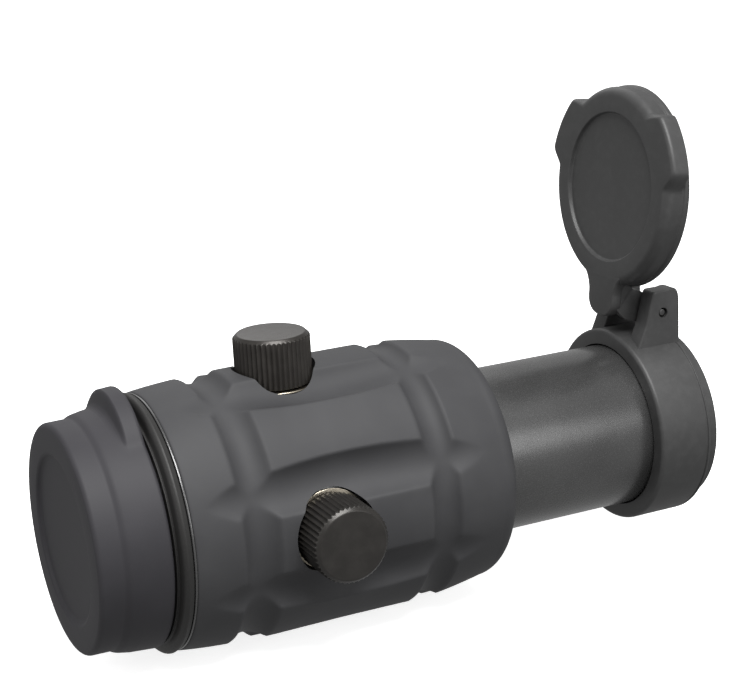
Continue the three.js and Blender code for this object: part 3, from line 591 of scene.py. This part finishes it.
# each channel is scooped as by a round cutter that lifts out towards both ends; its edge at the pad is bowed
channel = {
    "fromTurret": 22.25, "half": 4.1, "cutter": 4.9, "rear": -20.7, "rearFull": -10.8, "front": 28.5,
    "frontFull": 16.9, "taper": 0.75, "bowMiddle": 5, "bowReach": 14, "bow": 0.95, "widest": 0.3,
}
grooves = [
    {"centre": -12.75, "half": 3.15, "depth": 1.6},
    {"centre": 20.5, "half": 2.8, "depth": 1.6},
]
# outside a cut its depth goes on falling below nought, by this much more than at its edge
outsideSlope = 0.25


def barrelRadius(place):
    a = armour
    shoulderStart = a["front"] - a["shoulder"]
    toRear = min(max((-place - a["fullFrom"]) / (-a["rear"] - a["fullFrom"]), 0), 1)
    toFront = min(max((place - a["fullTo"]) / (shoulderStart - a["fullTo"]), 0), 1)
    rearDrop = (a["fullRadius"] - a["rearRadius"]) * toRear ** 2
    frontDrop = (a["fullRadius"] - a["frontRadius"]) * toFront ** a["frontBow"]
    return a["fullRadius"] - rearDrop - frontDrop


def scoop(offset, half, cutter):
    # how deep a round cutter of this radius goes where its cut is this wide; below nought outside the cut
    if abs(offset) < half:
        return math.sqrt(cutter ** 2 - offset ** 2) - math.sqrt(cutter ** 2 - half ** 2)
    return -(abs(offset) - half) * (half / math.sqrt(cutter ** 2 - half ** 2) + outsideSlope)


def grooveDepth(place):
    depths = []
    for groove in grooves:
        half, depth = groove["half"], groove["depth"]
        depths.append(scoop(place - groove["centre"], half, (half ** 2 / depth + depth) / 2))
    return max(depths)


def channelOffset(angle, place):
    # how far round from the middle of the nearest channel, away from the turret, and the channel's half width
    c = channel
    quarter = math.pi / 2
    fromTurret = abs(angle / quarter - round(angle / quarter)) * quarter
    wider = c["widest"] - c["bow"] * min(abs(place - c["bowMiddle"]) / c["bowReach"], 1) ** 2
    offset = (fromTurret - math.radians(c["fromTurret"])) * armour["fullRadius"] - wider / 2
    return offset, c["half"] + wider / 2


def channelDepth(angle, place):
    c = channel
    offset, half = channelOffset(angle, place)
    behind = (c["rearFull"] - place) / (c["rearFull"] - c["rear"])
    ahead = (place - c["frontFull"]) / (c["front"] - c["frontFull"])
    past = max(behind, ahead, 0)
    narrowed = half * (1 - min(past, 1) ** 2) ** c["taper"]
    return scoop(offset, narrowed, c["cutter"]) - max(past - 1, 0) * half


def armourRadius(radius, angle, place):
    # the edge at a pad is crisp, and the one at a turret's panel soft
    a = armour
    inBore = radius < a["bore"] + a["skin"]
    onRearEdge = place < a["rear"] + a["rearEdge"] - nearly
    if inBore or onRearEdge or place > a["front"] - a["shoulder"]:
        return radius
    cut = softMax(channelDepth(angle, place), grooveDepth(place), a["blend"])
    offset, half = channelOffset(angle, place)
    toPad = easeIn(offset, -half, half)
    return radius - softMax(cut, 0, a["turretCrease"] + (a["padCrease"] - a["turretCrease"]) * toPad)


def makeArmour():
    a = armour
    shoulderStart = a["front"] - a["shoulder"]
    outer = steps(a["rear"] + a["rearEdge"], shoulderStart, a["rowGap"])
    points = [(a["bore"], a["rear"]), (a["rearRadius"] - a["rearEdge"], a["rear"])]
    for i in range(1, a["edgeRows"]):
        lean = i * math.pi / 2 / a["edgeRows"]
        points.append((
            a["rearRadius"] - a["rearEdge"] * (1 - math.sin(lean)),
            a["rear"] + a["rearEdge"] * (1 - math.cos(lean))))
    points += [(barrelRadius(place), place) for place in outer]
    for i in range(a["shoulderRows"] + 1):
        lean = i * math.pi / 2 / a["shoulderRows"]
        points.append((
            a["frontRadius"] - a["shoulder"] * (1 - math.cos(lean)),
            shoulderStart + a["shoulder"] * math.sin(lean)))
    points += [
        (a["noseBore"], a["front"], a["noseRound"]), (a["noseBore"], a["nose"]), (a["bore"], a["housingEnd"])]
    obj = turned("rubber_armour_skin", points, a["columns"], a["rounds"])
    reshape(obj, armourRadius)
    cutAtTurrets(obj, [(a["hole"], a["holeFrom"], a["holeTo"])], a["holeSides"])
    smooth(obj, a["sharp"])
    carry(obj, "housing", "armour_rubber", armourRubber, "rubber_armour")


# eyepiece: cap, dioptre ring and cell

rearCap = {
    "face": -39.4, "faceRadius": 19.5, "rim": 0.9, "dish": 14.4, "dishDepth": 0.75, "valley": -35.2,
    "flare": 20.05, "flareAt": -34.3, "mouthRadius": 20.75, "mouth": -27.25, "bore": 18.6, "floor": -37.1,
    "lean": 0.07, "lipRound": 0.6, "rowsBehind": 0.4, "rowsEnd": 0.65, "rowGap": 0.1,
    "tabRadius": 12.6, "tabTop": 24.1, "tabFlat": -29.95, "tabFoot": -31.8, "tabEnd": 42, "tabFade": 5,
    "tabBlend": 0.3, "tabSink": 0.03, "tabSkin": 0.75, "tabUnder": 0.45, "columns": 288, "sharp": 40,
}
# the share of the tab's height left at each share of the way from its back edge down to its foot
tabBack = (
    (0, 1), (0.06, 0.985), (0.13, 0.93), (0.2, 0.8), (0.3, 0.5), (0.42, 0.24), (0.6, 0.1), (0.8, 0.03), (1, 0))


def tabHeight(angle, place):
    # how far the pull tab stands out of the cup: a disc that leans out of its rim, hollowed behind
    c = rearCap
    end = math.radians(c["tabEnd"])
    if abs(angle) > end or place < c["tabFoot"]:
        return 0
    centre = c["tabTop"] - c["tabRadius"]
    reach = centre * math.cos(angle) + math.sqrt(c["tabRadius"] ** 2 - (centre * math.sin(angle)) ** 2)
    share = min(max((c["tabFlat"] - place) / (c["tabFlat"] - c["tabFoot"]), 0), 1)
    low, high = next(pair for pair in zip(tabBack, tabBack[1:]) if share <= pair[1][0])
    wall = low[1] + (high[1] - low[1]) * (share - low[0]) / (high[0] - low[0])
    ease = min(1, (end - abs(angle)) / math.radians(c["tabFade"]))
    return max(softMax(reach - c["mouthRadius"], 0, c["tabBlend"]) - c["tabSink"], 0) * wall * ease


def makeRearCap():
    c = rearCap
    behind = [
        (c["mouthRadius"] - c["lean"] * (c["mouth"] - place - c["lipRound"]), place)
        for place in steps(c["tabFoot"] - c["rowsBehind"], c["mouth"] - c["rowsEnd"], c["rowGap"])]
    obj = turned("eyepiece_cap_skin", [
        (0, c["face"] + c["dishDepth"]),
        (c["dish"] - 0.5, c["face"] + c["dishDepth"], 0.5),
        (c["dish"] + 0.05, c["face"], 0.4),
        (c["faceRadius"], c["face"], c["rim"]),
        (c["faceRadius"] + 0.05, c["valley"], 0.25),
        (c["flare"], c["flareAt"], 0.35),
        *behind,
        (c["mouthRadius"], c["mouth"] - c["lipRound"]),
        (c["mouthRadius"] - 0.08, c["mouth"] - 0.3),
        (c["mouthRadius"] - 0.3, c["mouth"] - 0.08),
        (c["mouthRadius"] - c["lipRound"], c["mouth"]),
        (c["bore"], c["mouth"], 0.3),
        (c["bore"], c["floor"], 0.6),
        (0, c["floor"]),
    ], c["columns"])

    def withTab(radius, angle, place):
        outside = radius > c["mouthRadius"] - c["tabSkin"] and place > c["tabFoot"] - c["tabUnder"]
        return radius + tabHeight(angle, place) if outside else radius

    reshape(obj, withTab)
    smooth(obj, c["sharp"])
    carry(obj, "rear_cap", "cap_rubber", capRubber, "eyepiece_cap")


dioptre = {
    "bore": 18.6, "rear": -26.9, "front": -24.5, "crest": 22.25, "waist": 20.2, "edge": 21.9,
    "columns": 256, "rounds": 8, "sharp": 40,
}


def makeDioptre():
    d = dioptre
    obj = turned("dioptre_ring_skin", [
        (d["bore"], d["rear"], 0.1),
        (d["waist"] + 0.2, d["rear"], 0.1),
        (d["waist"] + 0.2, d["rear"] + 0.2, 0.08),
        (d["waist"], d["rear"] + 0.35, 0.3),
        (d["waist"] + 0.35, d["front"] - 1.9, 0.3),
        (d["crest"], d["front"] - 1.6, 0.9),
        (d["crest"], d["front"] - 0.9, 0.4),
        (d["edge"], d["front"] - 0.02, 0.2),
        (d["bore"], d["front"], 0.1),
    ], d["columns"], d["rounds"])
    smooth(obj, d["sharp"])
    carry(obj, "dioptre", "anodised_tube", dioptreSatin, "dioptre_ring")


cell = {
    "rear": -36.6, "front": -15.8, "radius": 18.3, "bore": 15.35, "lip": 14.35, "lipAt": -35.4,
    "coneWidth": 1.4, "coneDepth": 0.45, "sealFrom": -19.0, "sealTo": -17.6, "sealRadius": 17.7,
    "threadFrom": -30, "threadTo": -21, "threadPitch": 1.0, "threadDepth": 0.28,
}


def makeCell():
    c = cell
    quarter = c["threadPitch"] / 4
    threads = []
    for place in steps(c["threadFrom"], c["threadTo"], c["threadPitch"]):
        threads += [
            (c["radius"], place + quarter),
            (c["radius"] - c["threadDepth"], place + 2 * quarter),
            (c["radius"], place + 3 * quarter)]
    obj = turned("eyepiece_cell_skin", [
        (c["lip"], c["rear"] + c["coneDepth"], 0.2),
        (c["lip"] + c["coneWidth"], c["rear"], 0.15),
        (c["radius"], c["rear"], 0.35),
        *threads,
        (c["radius"], c["sealFrom"], 0.08),
        (c["sealRadius"], c["sealFrom"]),
        (c["sealRadius"], c["sealTo"]),
        (c["radius"], c["sealTo"], 0.08),
        (c["radius"], c["front"], 0.3),
        (c["bore"], c["front"], 0.15),
        (c["bore"], c["lipAt"]),
        (c["lip"], c["lipAt"]),
    ])
    smooth(obj)
    carry(obj, "eyepiece", "anodised_tube", anodisedTube, "eyepiece_cell")


# the two lenses that show: thickness at the centre and at the edge

lenses = [
    {
        "node": "eye_lens", "body": "eyepiece",
        "radius": 15.2, "rear": -36.14, "centre": 4.6, "edge": 2.6,
    },
    {
        "node": "objective_crown_lens", "body": "housing",
        "radius": 13.25, "rear": 69.06, "centre": 4.2, "edge": 2.0,
    },
]
lensMesh = {"rows": 16, "columns": 128, "rounds": 2, "bevel": 0.12, "sharp": 30}


def makeLens(node, body, radius, rear, centre, edge):
    # a lens between two bowed faces with a ground edge
    m = lensMesh
    rise = (centre - edge) / 2
    shares = [i / m["rows"] for i in range(m["rows"] + 1)]
    behind = [(radius * share, rear + rise * share ** 2) for share in shares]
    ahead = [(radius * share, rear + centre - rise * share ** 2) for share in reversed(shares)]
    points = [*behind[:-1], (*behind[-1], m["bevel"]), (*ahead[0], m["bevel"]), *ahead[1:]]
    obj = turned(f"{node}_skin", points, m["columns"], m["rounds"])
    smooth(obj, m["sharp"])
    carry(obj, body, "lens_glass", lensGlass, node)


# turrets: knurled caps, bushings and dials, each drawn about Y with its top ahead, then stood upright

knob = {
    "radius": 6.62, "bottom": 20.45, "top": 29.1, "chamfer": 0.75, "chamferRows": 7, "topRound": 0.16,
    "foot": 0.2, "rowsFrom": 0.3, "rowsTo": 0.05, "rowGap": 0.9, "flutes": 48, "fluteDepth": 0.3,
    "flutePower": 0.8, "perFlute": 8, "inside": 5.5, "insideTop": 27.6, "sharp": 28,
}
bushing = {
    "bore": 2.7, "bottom": 14.6, "stem": 4.0, "flange": 6.95, "flangeFrom": 19.75, "flangeTo": 20.1,
    "neck": 4.9, "neckTop": 23.4, "pitch": 0.6, "threadDepth": 0.22, "threadEnd": 0.5, "columns": 128,
    "rounds": 3, "sharp": 30,
}
dial = {
    "radius": 4.3, "bottom": 23.9, "top": 25.6, "stem": 2.4, "stemBottom": 16.6, "bore": 1.45,
    "boreTop": 23.4, "slotWidth": 1.0, "slotDepth": 0.8, "marks": 24, "longEvery": 6, "longMark": 1.1, "shortMark": 0.65,
    "markPast": 0.15, "markWidth": 0.16, "markDepth": 0.2, "columns": 144, "rounds": 3, "sharp": 30,
}


def fluteShare(angle):
    # nought on a ridge and one at the bottom of a flute
    turn = (angle * knob["flutes"] / (2 * math.pi)) % 1
    return math.sin(math.pi * turn) ** knob["flutePower"]


def makeKnob():
    k = knob
    rows = steps(k["bottom"] + k["rowsFrom"], k["top"] - k["chamfer"] - k["rowsTo"], k["rowGap"])
    middle = [(k["radius"], place) for place in rows]
    count = k["chamferRows"]
    chamfer = [
        (k["radius"] - k["chamfer"] * i / count, k["top"] - k["chamfer"] * (1 - i / count)) for i in range(count)]
    obj = turned("knurled_cap", [
        (0, k["top"]),
        (k["radius"] - k["chamfer"], k["top"], k["topRound"]),
        *reversed(chamfer[:-1]),
        *reversed(middle),
        (k["radius"] - k["foot"], k["bottom"]),
        (k["inside"], k["bottom"], 0.2),
        (k["inside"], k["insideTop"], 0.3),
        (0, k["insideTop"]),
    ], k["flutes"] * k["perFlute"], at=(0, 0, 0))
    for vertex in obj.data.vertices:
        x, y, z = vertex.co
        radius = math.hypot(x, z)
        flute = (k["radius"] - k["fluteDepth"] * fluteShare(math.atan2(x, z))) * mm
        if radius > flute:
            vertex.co = (x * flute / radius, y, z * flute / radius)
    applyPlace(obj, toUpright)
    smooth(obj, k["sharp"])
    return obj


def makeBushing():
    b = bushing
    threads = []
    for place in steps(b["flangeTo"] + b["threadEnd"], b["neckTop"] - b["threadEnd"], b["pitch"]):
        threads += [(b["neck"], place), (b["neck"] - b["threadDepth"], place + b["pitch"] / 2)]
    obj = turned("turret_bushing", [
        (b["bore"], b["bottom"], 0.1),
        (b["stem"], b["bottom"], 0.15),
        (b["stem"], b["flangeFrom"]),
        (b["flange"], b["flangeFrom"], 0.1),
        (b["flange"], b["flangeTo"], 0.12),
        (b["neck"], b["flangeTo"], 0.08),
        *threads,
        (b["neck"], b["neckTop"], 0.2),
        (b["bore"], b["neckTop"], 0.1),
    ], b["columns"], b["rounds"], at=(0, 0, 0))
    applyPlace(obj, toUpright)
    smooth(obj, b["sharp"])
    return obj


def makeDial():
    d = dial
    obj = turned("turret_dial", [
        (0, d["boreTop"]),
        (d["bore"], d["boreTop"]),
        (d["bore"], d["stemBottom"], 0.1),
        (d["stem"], d["stemBottom"], 0.15),
        (d["stem"], d["bottom"]),
        (d["radius"], d["bottom"], 0.12),
        (d["radius"], d["top"], 0.15),
        (0, d["top"]),
    ], d["columns"], d["rounds"], at=(0, 0, 0))
    boolean(obj, block((4 * d["radius"], 2 * d["slotDepth"], d["slotWidth"]), (0, d["top"], 0)))
    for i in range(d["marks"]):
        # plain marks round the rim, one longer in six
        reach = d["longMark"] if i % d["longEvery"] == 0 else d["shortMark"]
        mark = block(
            (reach, 2 * d["markDepth"], d["markWidth"]), (d["radius"] - reach / 2 + d["markPast"], d["top"], 0))
        applyPlace(mark, Matrix.Rotation(2 * math.pi * (i + 0.5) / d["marks"], 4, "Y"))
        boolean(obj, mark)
    applyPlace(obj, toUpright)
    smooth(obj, d["sharp"])
    return obj


def makeTurrets():
    for make, node, slotName, finishes, body in (
            (makeKnob, "cap", "anodised_knob", (knobUpright, knobSide), "cover"),
            (makeBushing, "bushing", "turret_brass", (brassUpright, brassSide), None),
            (makeDial, "dial", "turret_brass", (brassUpright, brassSide), "knob")):
        upright = make()
        upright.name = upright.data.name = f"elevation_{node}_skin"
        side = twin(upright, f"windage_{node}_skin", toSide)
        carry(upright, f"elevation_{body}" if body else "housing", slotName, finishes[0], f"elevation_{node}")
        carry(side, f"windage_{body}" if body else "housing", slotName, finishes[1], f"windage_{node}")


# flip cover: collar, ears, pin, spring and lid

collar = {
    "bore": 15.3, "radius": 18.06, "rear": 66.9, "front": 77.5, "rearRound": 0.75, "spigot": 16.45,
    "spigotEnd": 80.06, "window": 14.2, "lipAt": 79.06, "boreSides": 192, "overrun": 2,
    "rounds": 8, "sharp": 32,
    # the line round the collar: how far in, how far back from the front, rounding
    "line": [(0, 0.9, 0.06), (0.22, 0.8, 0.05), (0.22, 0.55, 0.05), (0.02, 0.45, 0.06), (0.02, 0, 0.3)],
}
ear = {
    "inner": 4.4, "outer": 8.1, "pinHole": 0.95, "pinSides": 48, "holeLength": 40, "round": 0.3,
    "outline": [
        (68.3, 15.6), (77.6, 15.6), (77.65, 24.6, 0.6), (77.4, 25.8, 0.5), (76.9, 26.4, 0.4),
        (75.9, 26.55, 0.4), (75.1, 26.35, 0.3), (73.7, 26.35), (72.2, 26.35, 0.5), (71.95, 25.7, 0.4),
        (71.5, 24.1, 0.8), (70.5, 20.35, 0.8), (68.85, 16.65)],
}
pin = {"radius": 0.65, "half": 7.8, "bevel": 0.15, "columns": 48, "rounds": 3}
coil = {
    "radius": 1.35, "wire": 0.25, "turns": 5, "half": 1.7, "leg": 3.2, "perTurn": 24, "rounds": 3, "sharp": 50,
}
lid = {
    "radius": 18.1, "wall": 1.35, "mouth": 77.8, "inside": 80.7, "face": 82.7, "edge": 1.7, "recess": 13.6,
    "recessDepth": 0.7, "lip": 0.3, "lipWidth": 0.9, "open": 174, "holeLength": 20, "rowGap": 0.5,
    "rollStep": 9, "columns": 288, "sharp": 34,
}
# degrees from straight down: each lug grows from the first to the second and fades from the third to the fourth
lug = {"outer": 20.4, "edge": 0.85, "back": 79.3, "grow": (36, 46), "fade": (75, 85)}
arm = {
    "half": 4.05, "thickness": 2.1, "past": 1.6, "end": 3.1, "root": 1.7, "rootRound": 1.8, "footSide": 2.2,
    "footDrop": 0.6, "rounds": 8, "ease": 0.35, "barrel": 2.4, "barrelArc": (90, 286, 15), "cheekOuter": 3.7,
    "cheekInner": 2.2, "cheekEase": 0.2, "cheekRows": 2,
    "cheek": [
        (76.7, 18.7, 0.4), (78.1, 18.5, 0.2), (78.2, 17.2), (82, 17.2), (82, 21.4), (80.8, 22.9, 0.8),
        (79.3, 24.2, 0.8), (77.9, 24.6, 0.6)],
}


def makeEar(side):
    e = ear
    obj = slab("ear", e["outline"], sideways, ((e["outer"] - e["inner"]) * mm, 0, 0))
    if side < 0:
        # the far ear is the near one mirrored
        pick(obj)
        bpy.ops.transform.mirror(constraint_axis=(True, False, False), center_override=(0, 0, 0))
        closeUp(obj)
    easeEdges(obj, e["round"])
    obj.location = (side * e["inner"] * mm, turretY, 0)
    applyPlace(obj)
    return obj


def makeCollar():
    c = collar
    obj = turned("cover_collar_skin", [
        (c["window"], c["rear"], 0.3),
        (c["radius"], c["rear"], c["rearRound"]),
        *((c["radius"] - inwards, c["front"] - back, rounding) for inwards, back, rounding in c["line"]),
        (c["spigot"], c["front"], 0.15),
        (c["spigot"], c["spigotEnd"], 0.35),
        (c["window"], c["spigotEnd"], 0.25),
    ], rounds=c["rounds"])
    for side in (-1, 1):
        boolean(obj, makeEar(side), "UNION")
    length = c["lipAt"] - c["rear"] + c["overrun"]
    middle = (0, turretY + (c["lipAt"] - length / 2) * mm, 0)
    boolean(obj, rod(c["bore"], length, lengthwise, middle, c["boreSides"]))
    boolean(obj, rod(ear["pinHole"], ear["holeLength"], crosswise, hinge, ear["pinSides"]))
    smooth(obj, c["sharp"])
    carry(obj, "housing", "cover_plastic", coverPlastic, "cover_collar")


def makePin():
    p = pin
    obj = turned("lid_hinge_pin_skin", [
        (0, -p["half"]),
        (p["radius"], -p["half"], p["bevel"]),
        (p["radius"], p["half"], p["bevel"]),
        (0, p["half"]),
    ], p["columns"], p["rounds"], at=(0, 0, 0))
    applyPlace(obj, Matrix.Translation(hinge) @ Matrix.Rotation(math.radians(-90), 4, "Z"))
    smooth(obj)
    carry(obj, "housing", "spring_steel", springSteel, "lid_hinge_pin")


def makeSpring():
    # coils round the pin, with a leg at each end towards the rear
    s = coil
    count = s["turns"] * s["perTurn"]
    points = [(-s["half"], -s["leg"], -s["radius"])]
    for i in range(count + 1):
        angle = -math.pi / 2 + 2 * math.pi * i / s["perTurn"]
        across = -s["half"] + 2 * s["half"] * i / count
        points.append((across, s["radius"] * math.cos(angle), s["radius"] * math.sin(angle)))
    points.append((s["half"], -s["leg"], -s["radius"]))
    deselectAll()
    bpy.ops.curve.primitive_nurbs_path_add(location=(0, 0, 0))
    obj = bpy.context.object
    obj.name = "lid_torsion_spring_skin"
    path = obj.data
    path.splines.clear()
    spline = path.splines.new("POLY")
    spline.points.add(len(points) - 1)
    for target, point in zip(spline.points, points):
        target.co = (*(Vector(point) * mm + hinge), 1)
    path.bevel_depth = s["wire"] * mm
    path.bevel_resolution = s["rounds"]
    path.use_fill_caps = True
    pick(obj)
    bpy.ops.object.convert(target="MESH")
    obj = bpy.context.object
    closeUp(obj)
    smooth(obj, s["sharp"])
    carry(obj, "housing", "spring_steel", springSteel, "lid_torsion_spring")


def growLugs(obj):
    # draws the rounded rim out into two square finger lugs, flush with the face
    l, g = lid, lug
    rollRadius, rollPlace = l["radius"] - l["edge"], l["face"] - l["edge"]
    for vertex in obj.data.vertices:
        radius = math.hypot(vertex.co.x, vertex.co.z) / mm
        place = (vertex.co.y - turretY) / mm
        onFace = radius < rollRadius - 2 * nearly
        insideWall = radius < l["radius"] - 5 * nearly and place < rollPlace
        if place < g["back"] - nearly or onFace or insideWall:
            continue
        below = abs(math.degrees(math.atan2(vertex.co.x, -vertex.co.z)))
        share = easeIn(below, *g["grow"]) * (1 - easeIn(below, *g["fade"]))
        if place > rollPlace:
            lean = math.atan2(radius - rollRadius, place - rollPlace)
            wantedRadius = g["outer"] - g["edge"] * (1 - math.sin(lean))
            wantedPlace = l["face"] - g["edge"] * (1 - math.cos(lean))
        else:
            wantedRadius = g["outer"]
            along = (place - g["back"]) / (rollPlace - g["back"])
            wantedPlace = g["back"] + (l["face"] - g["edge"] - g["back"]) * along
        newRadius = radius + (wantedRadius - radius) * share
        newPlace = place + (wantedPlace - place) * share
        vertex.co = (
            vertex.co.x * newRadius / radius, turretY + newPlace * mm, vertex.co.z * newRadius / radius)


def makeLid():
    # drawn closed on the collar, then swung open about the pin
    l = lid
    inner = l["radius"] - l["wall"]
    roll = [
        (l["radius"] - l["edge"] * (1 - math.cos(math.radians(lean))),
         l["face"] - l["edge"] * (1 - math.sin(math.radians(lean)))) for lean in range(0, 91, l["rollStep"])]
    wall = [(l["radius"], place) for place in steps(lug["back"], l["face"] - l["edge"], l["rowGap"])]
    obj = turned("flip_lid_skin", [
        (0, l["inside"]),
        (inner, l["inside"], 0.4),
        (inner, l["mouth"], 0.2),
        (l["radius"] + l["lip"], l["mouth"], 0.2),
        (l["radius"] + l["lip"], l["mouth"] + l["lipWidth"], 0.2),
        (l["radius"], l["mouth"] + l["lipWidth"] + l["lip"], 0.1),
        (l["radius"], lug["back"] - 0.08),
        *wall,
        *roll,
        (l["recess"], l["face"], 0.15),
        (l["recess"] - 0.25, l["face"] - l["recessDepth"], 0.2),
        (0, l["face"] - l["recessDepth"]),
    ], l["columns"])
    growLugs(obj)
    addArm(obj)
    boolean(obj, rod(ear["pinHole"], l["holeLength"], crosswise, hinge, ear["pinSides"]))
    smooth(obj, l["sharp"])
    swing = Matrix.Rotation(math.radians(l["open"]), 4, "X")
    applyPlace(obj, Matrix.Translation(hinge) @ swing @ Matrix.Translation(-hinge))
    carry(obj, "lid", "cover_plastic", coverPlastic, "flip_lid")


def addArm(obj):
    # the hinge arm on the lid's face, and the two cheeks that carry its barrel
    r = arm
    top = hinge.z / mm
    foot = lid["radius"] - lid["edge"]
    outline = [
        (-r["half"] - r["footSide"], foot - r["footDrop"]),
        (r["half"] + r["footSide"], foot - r["footDrop"]),
        (r["half"], foot + r["root"], r["rootRound"]),
        (r["half"], top + r["past"], r["end"]),
        (-r["half"], top + r["past"], r["end"]),
        (-r["half"], foot + r["root"], r["rootRound"])]
    depth = (0, -r["thickness"] * mm, 0)
    piece = slab("armPlate", outline, lambda across, up: Vector((across, 0, up)), depth, r["rounds"])
    piece.location = (0, turretY + lid["face"] * mm, 0)
    applyPlace(piece)
    easeEdges(piece, r["ease"])
    boolean(obj, piece, "UNION")
    hingePlace = (hinge.y - turretY) / mm
    barrel = []
    for degrees in range(*r["barrelArc"]):
        lean = math.radians(degrees)
        barrel.append((hingePlace + r["barrel"] * math.cos(lean), top + r["barrel"] * math.sin(lean)))
    depth = ((r["cheekOuter"] - r["cheekInner"]) * mm, 0, 0)
    for start in (r["cheekInner"], -r["cheekOuter"]):
        cheek = slab("cheek", [*barrel, *r["cheek"]], sideways, depth)
        easeEdges(cheek, r["cheekEase"], r["cheekRows"])
        cheek.location = (start * mm, turretY, 0)
        applyPlace(cheek)
        boolean(obj, cheek, "UNION")


makeTube()
print("tube")
makeArmour()
print("armour")
makeRearCap()
makeDioptre()
makeCell()
for lens in lenses:
    makeLens(**lens)
print("eyepiece")
makeTurrets()
print("turrets")
makeCollar()
makePin()
makeSpring()
makeLid()
print("cover")


# finishes of the solids that stay as they are

nodeFinishes = (
    (sealRubber, ("elevation_cap_seal", "windage_cap_seal", "eyepiece_o_ring", "objective_seal")),
    (springSteel, (
        "elevation_plunger", "windage_plunger", "gimbal_left_pin", "gimbal_right_pin", "gimbal_lower_pin",
        "gimbal_upper_pin", "leaf_spring")),
    (lensGlass, ("objective_flint_lens", "eyepiece_field_lens", "rear_relay_lens", "front_relay_lens")),
    (innerBlack, (
        "objective_retaining_ring", "eyepiece_retaining_ring", "eyepiece_spacer", "erector_tube",
        "relay_spacer", "relay_stop", "relay_retaining_ring", "gimbal_ring")),
)
for nodeFinish, nodeNames in nodeFinishes:
    for nodeName in nodeNames:
        node = frame["nodes"][nodeName]
        node.data.materials.clear()
        node.data.materials.append(nodeFinish)


# floor

def makeFloor():
    deselectAll()
    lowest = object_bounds()[0][2]
    bpy.ops.mesh.primitive_plane_add(size=stage["floor"], location=(0, 0, lowest - stage["floorGap"]))
    floor = bpy.context.object
    floor.name = "paleFloor"
    applyPlace(floor)
    # the floor is lit from within a little, and throws no light back under the sight
    finish = Finish(
        "paleFloor", Specular_IOR_Level=0.1, Emission_Color=(1, 1, 1, 1), Emission_Strength=stage["floorGlow"])
    cloud = finish.noise(400, 2)
    floor.data.materials.append(finish.feed(
        Base_Color=finish.mix(cloud, (0.86, 0.86, 0.86, 1), (0.9, 0.9, 0.895, 1)),
        Roughness=0.85 + (cloud - 0.5) * 0.1))
    floor.visible_diffuse = False
    floor.visible_glossy = False


makeFloor()
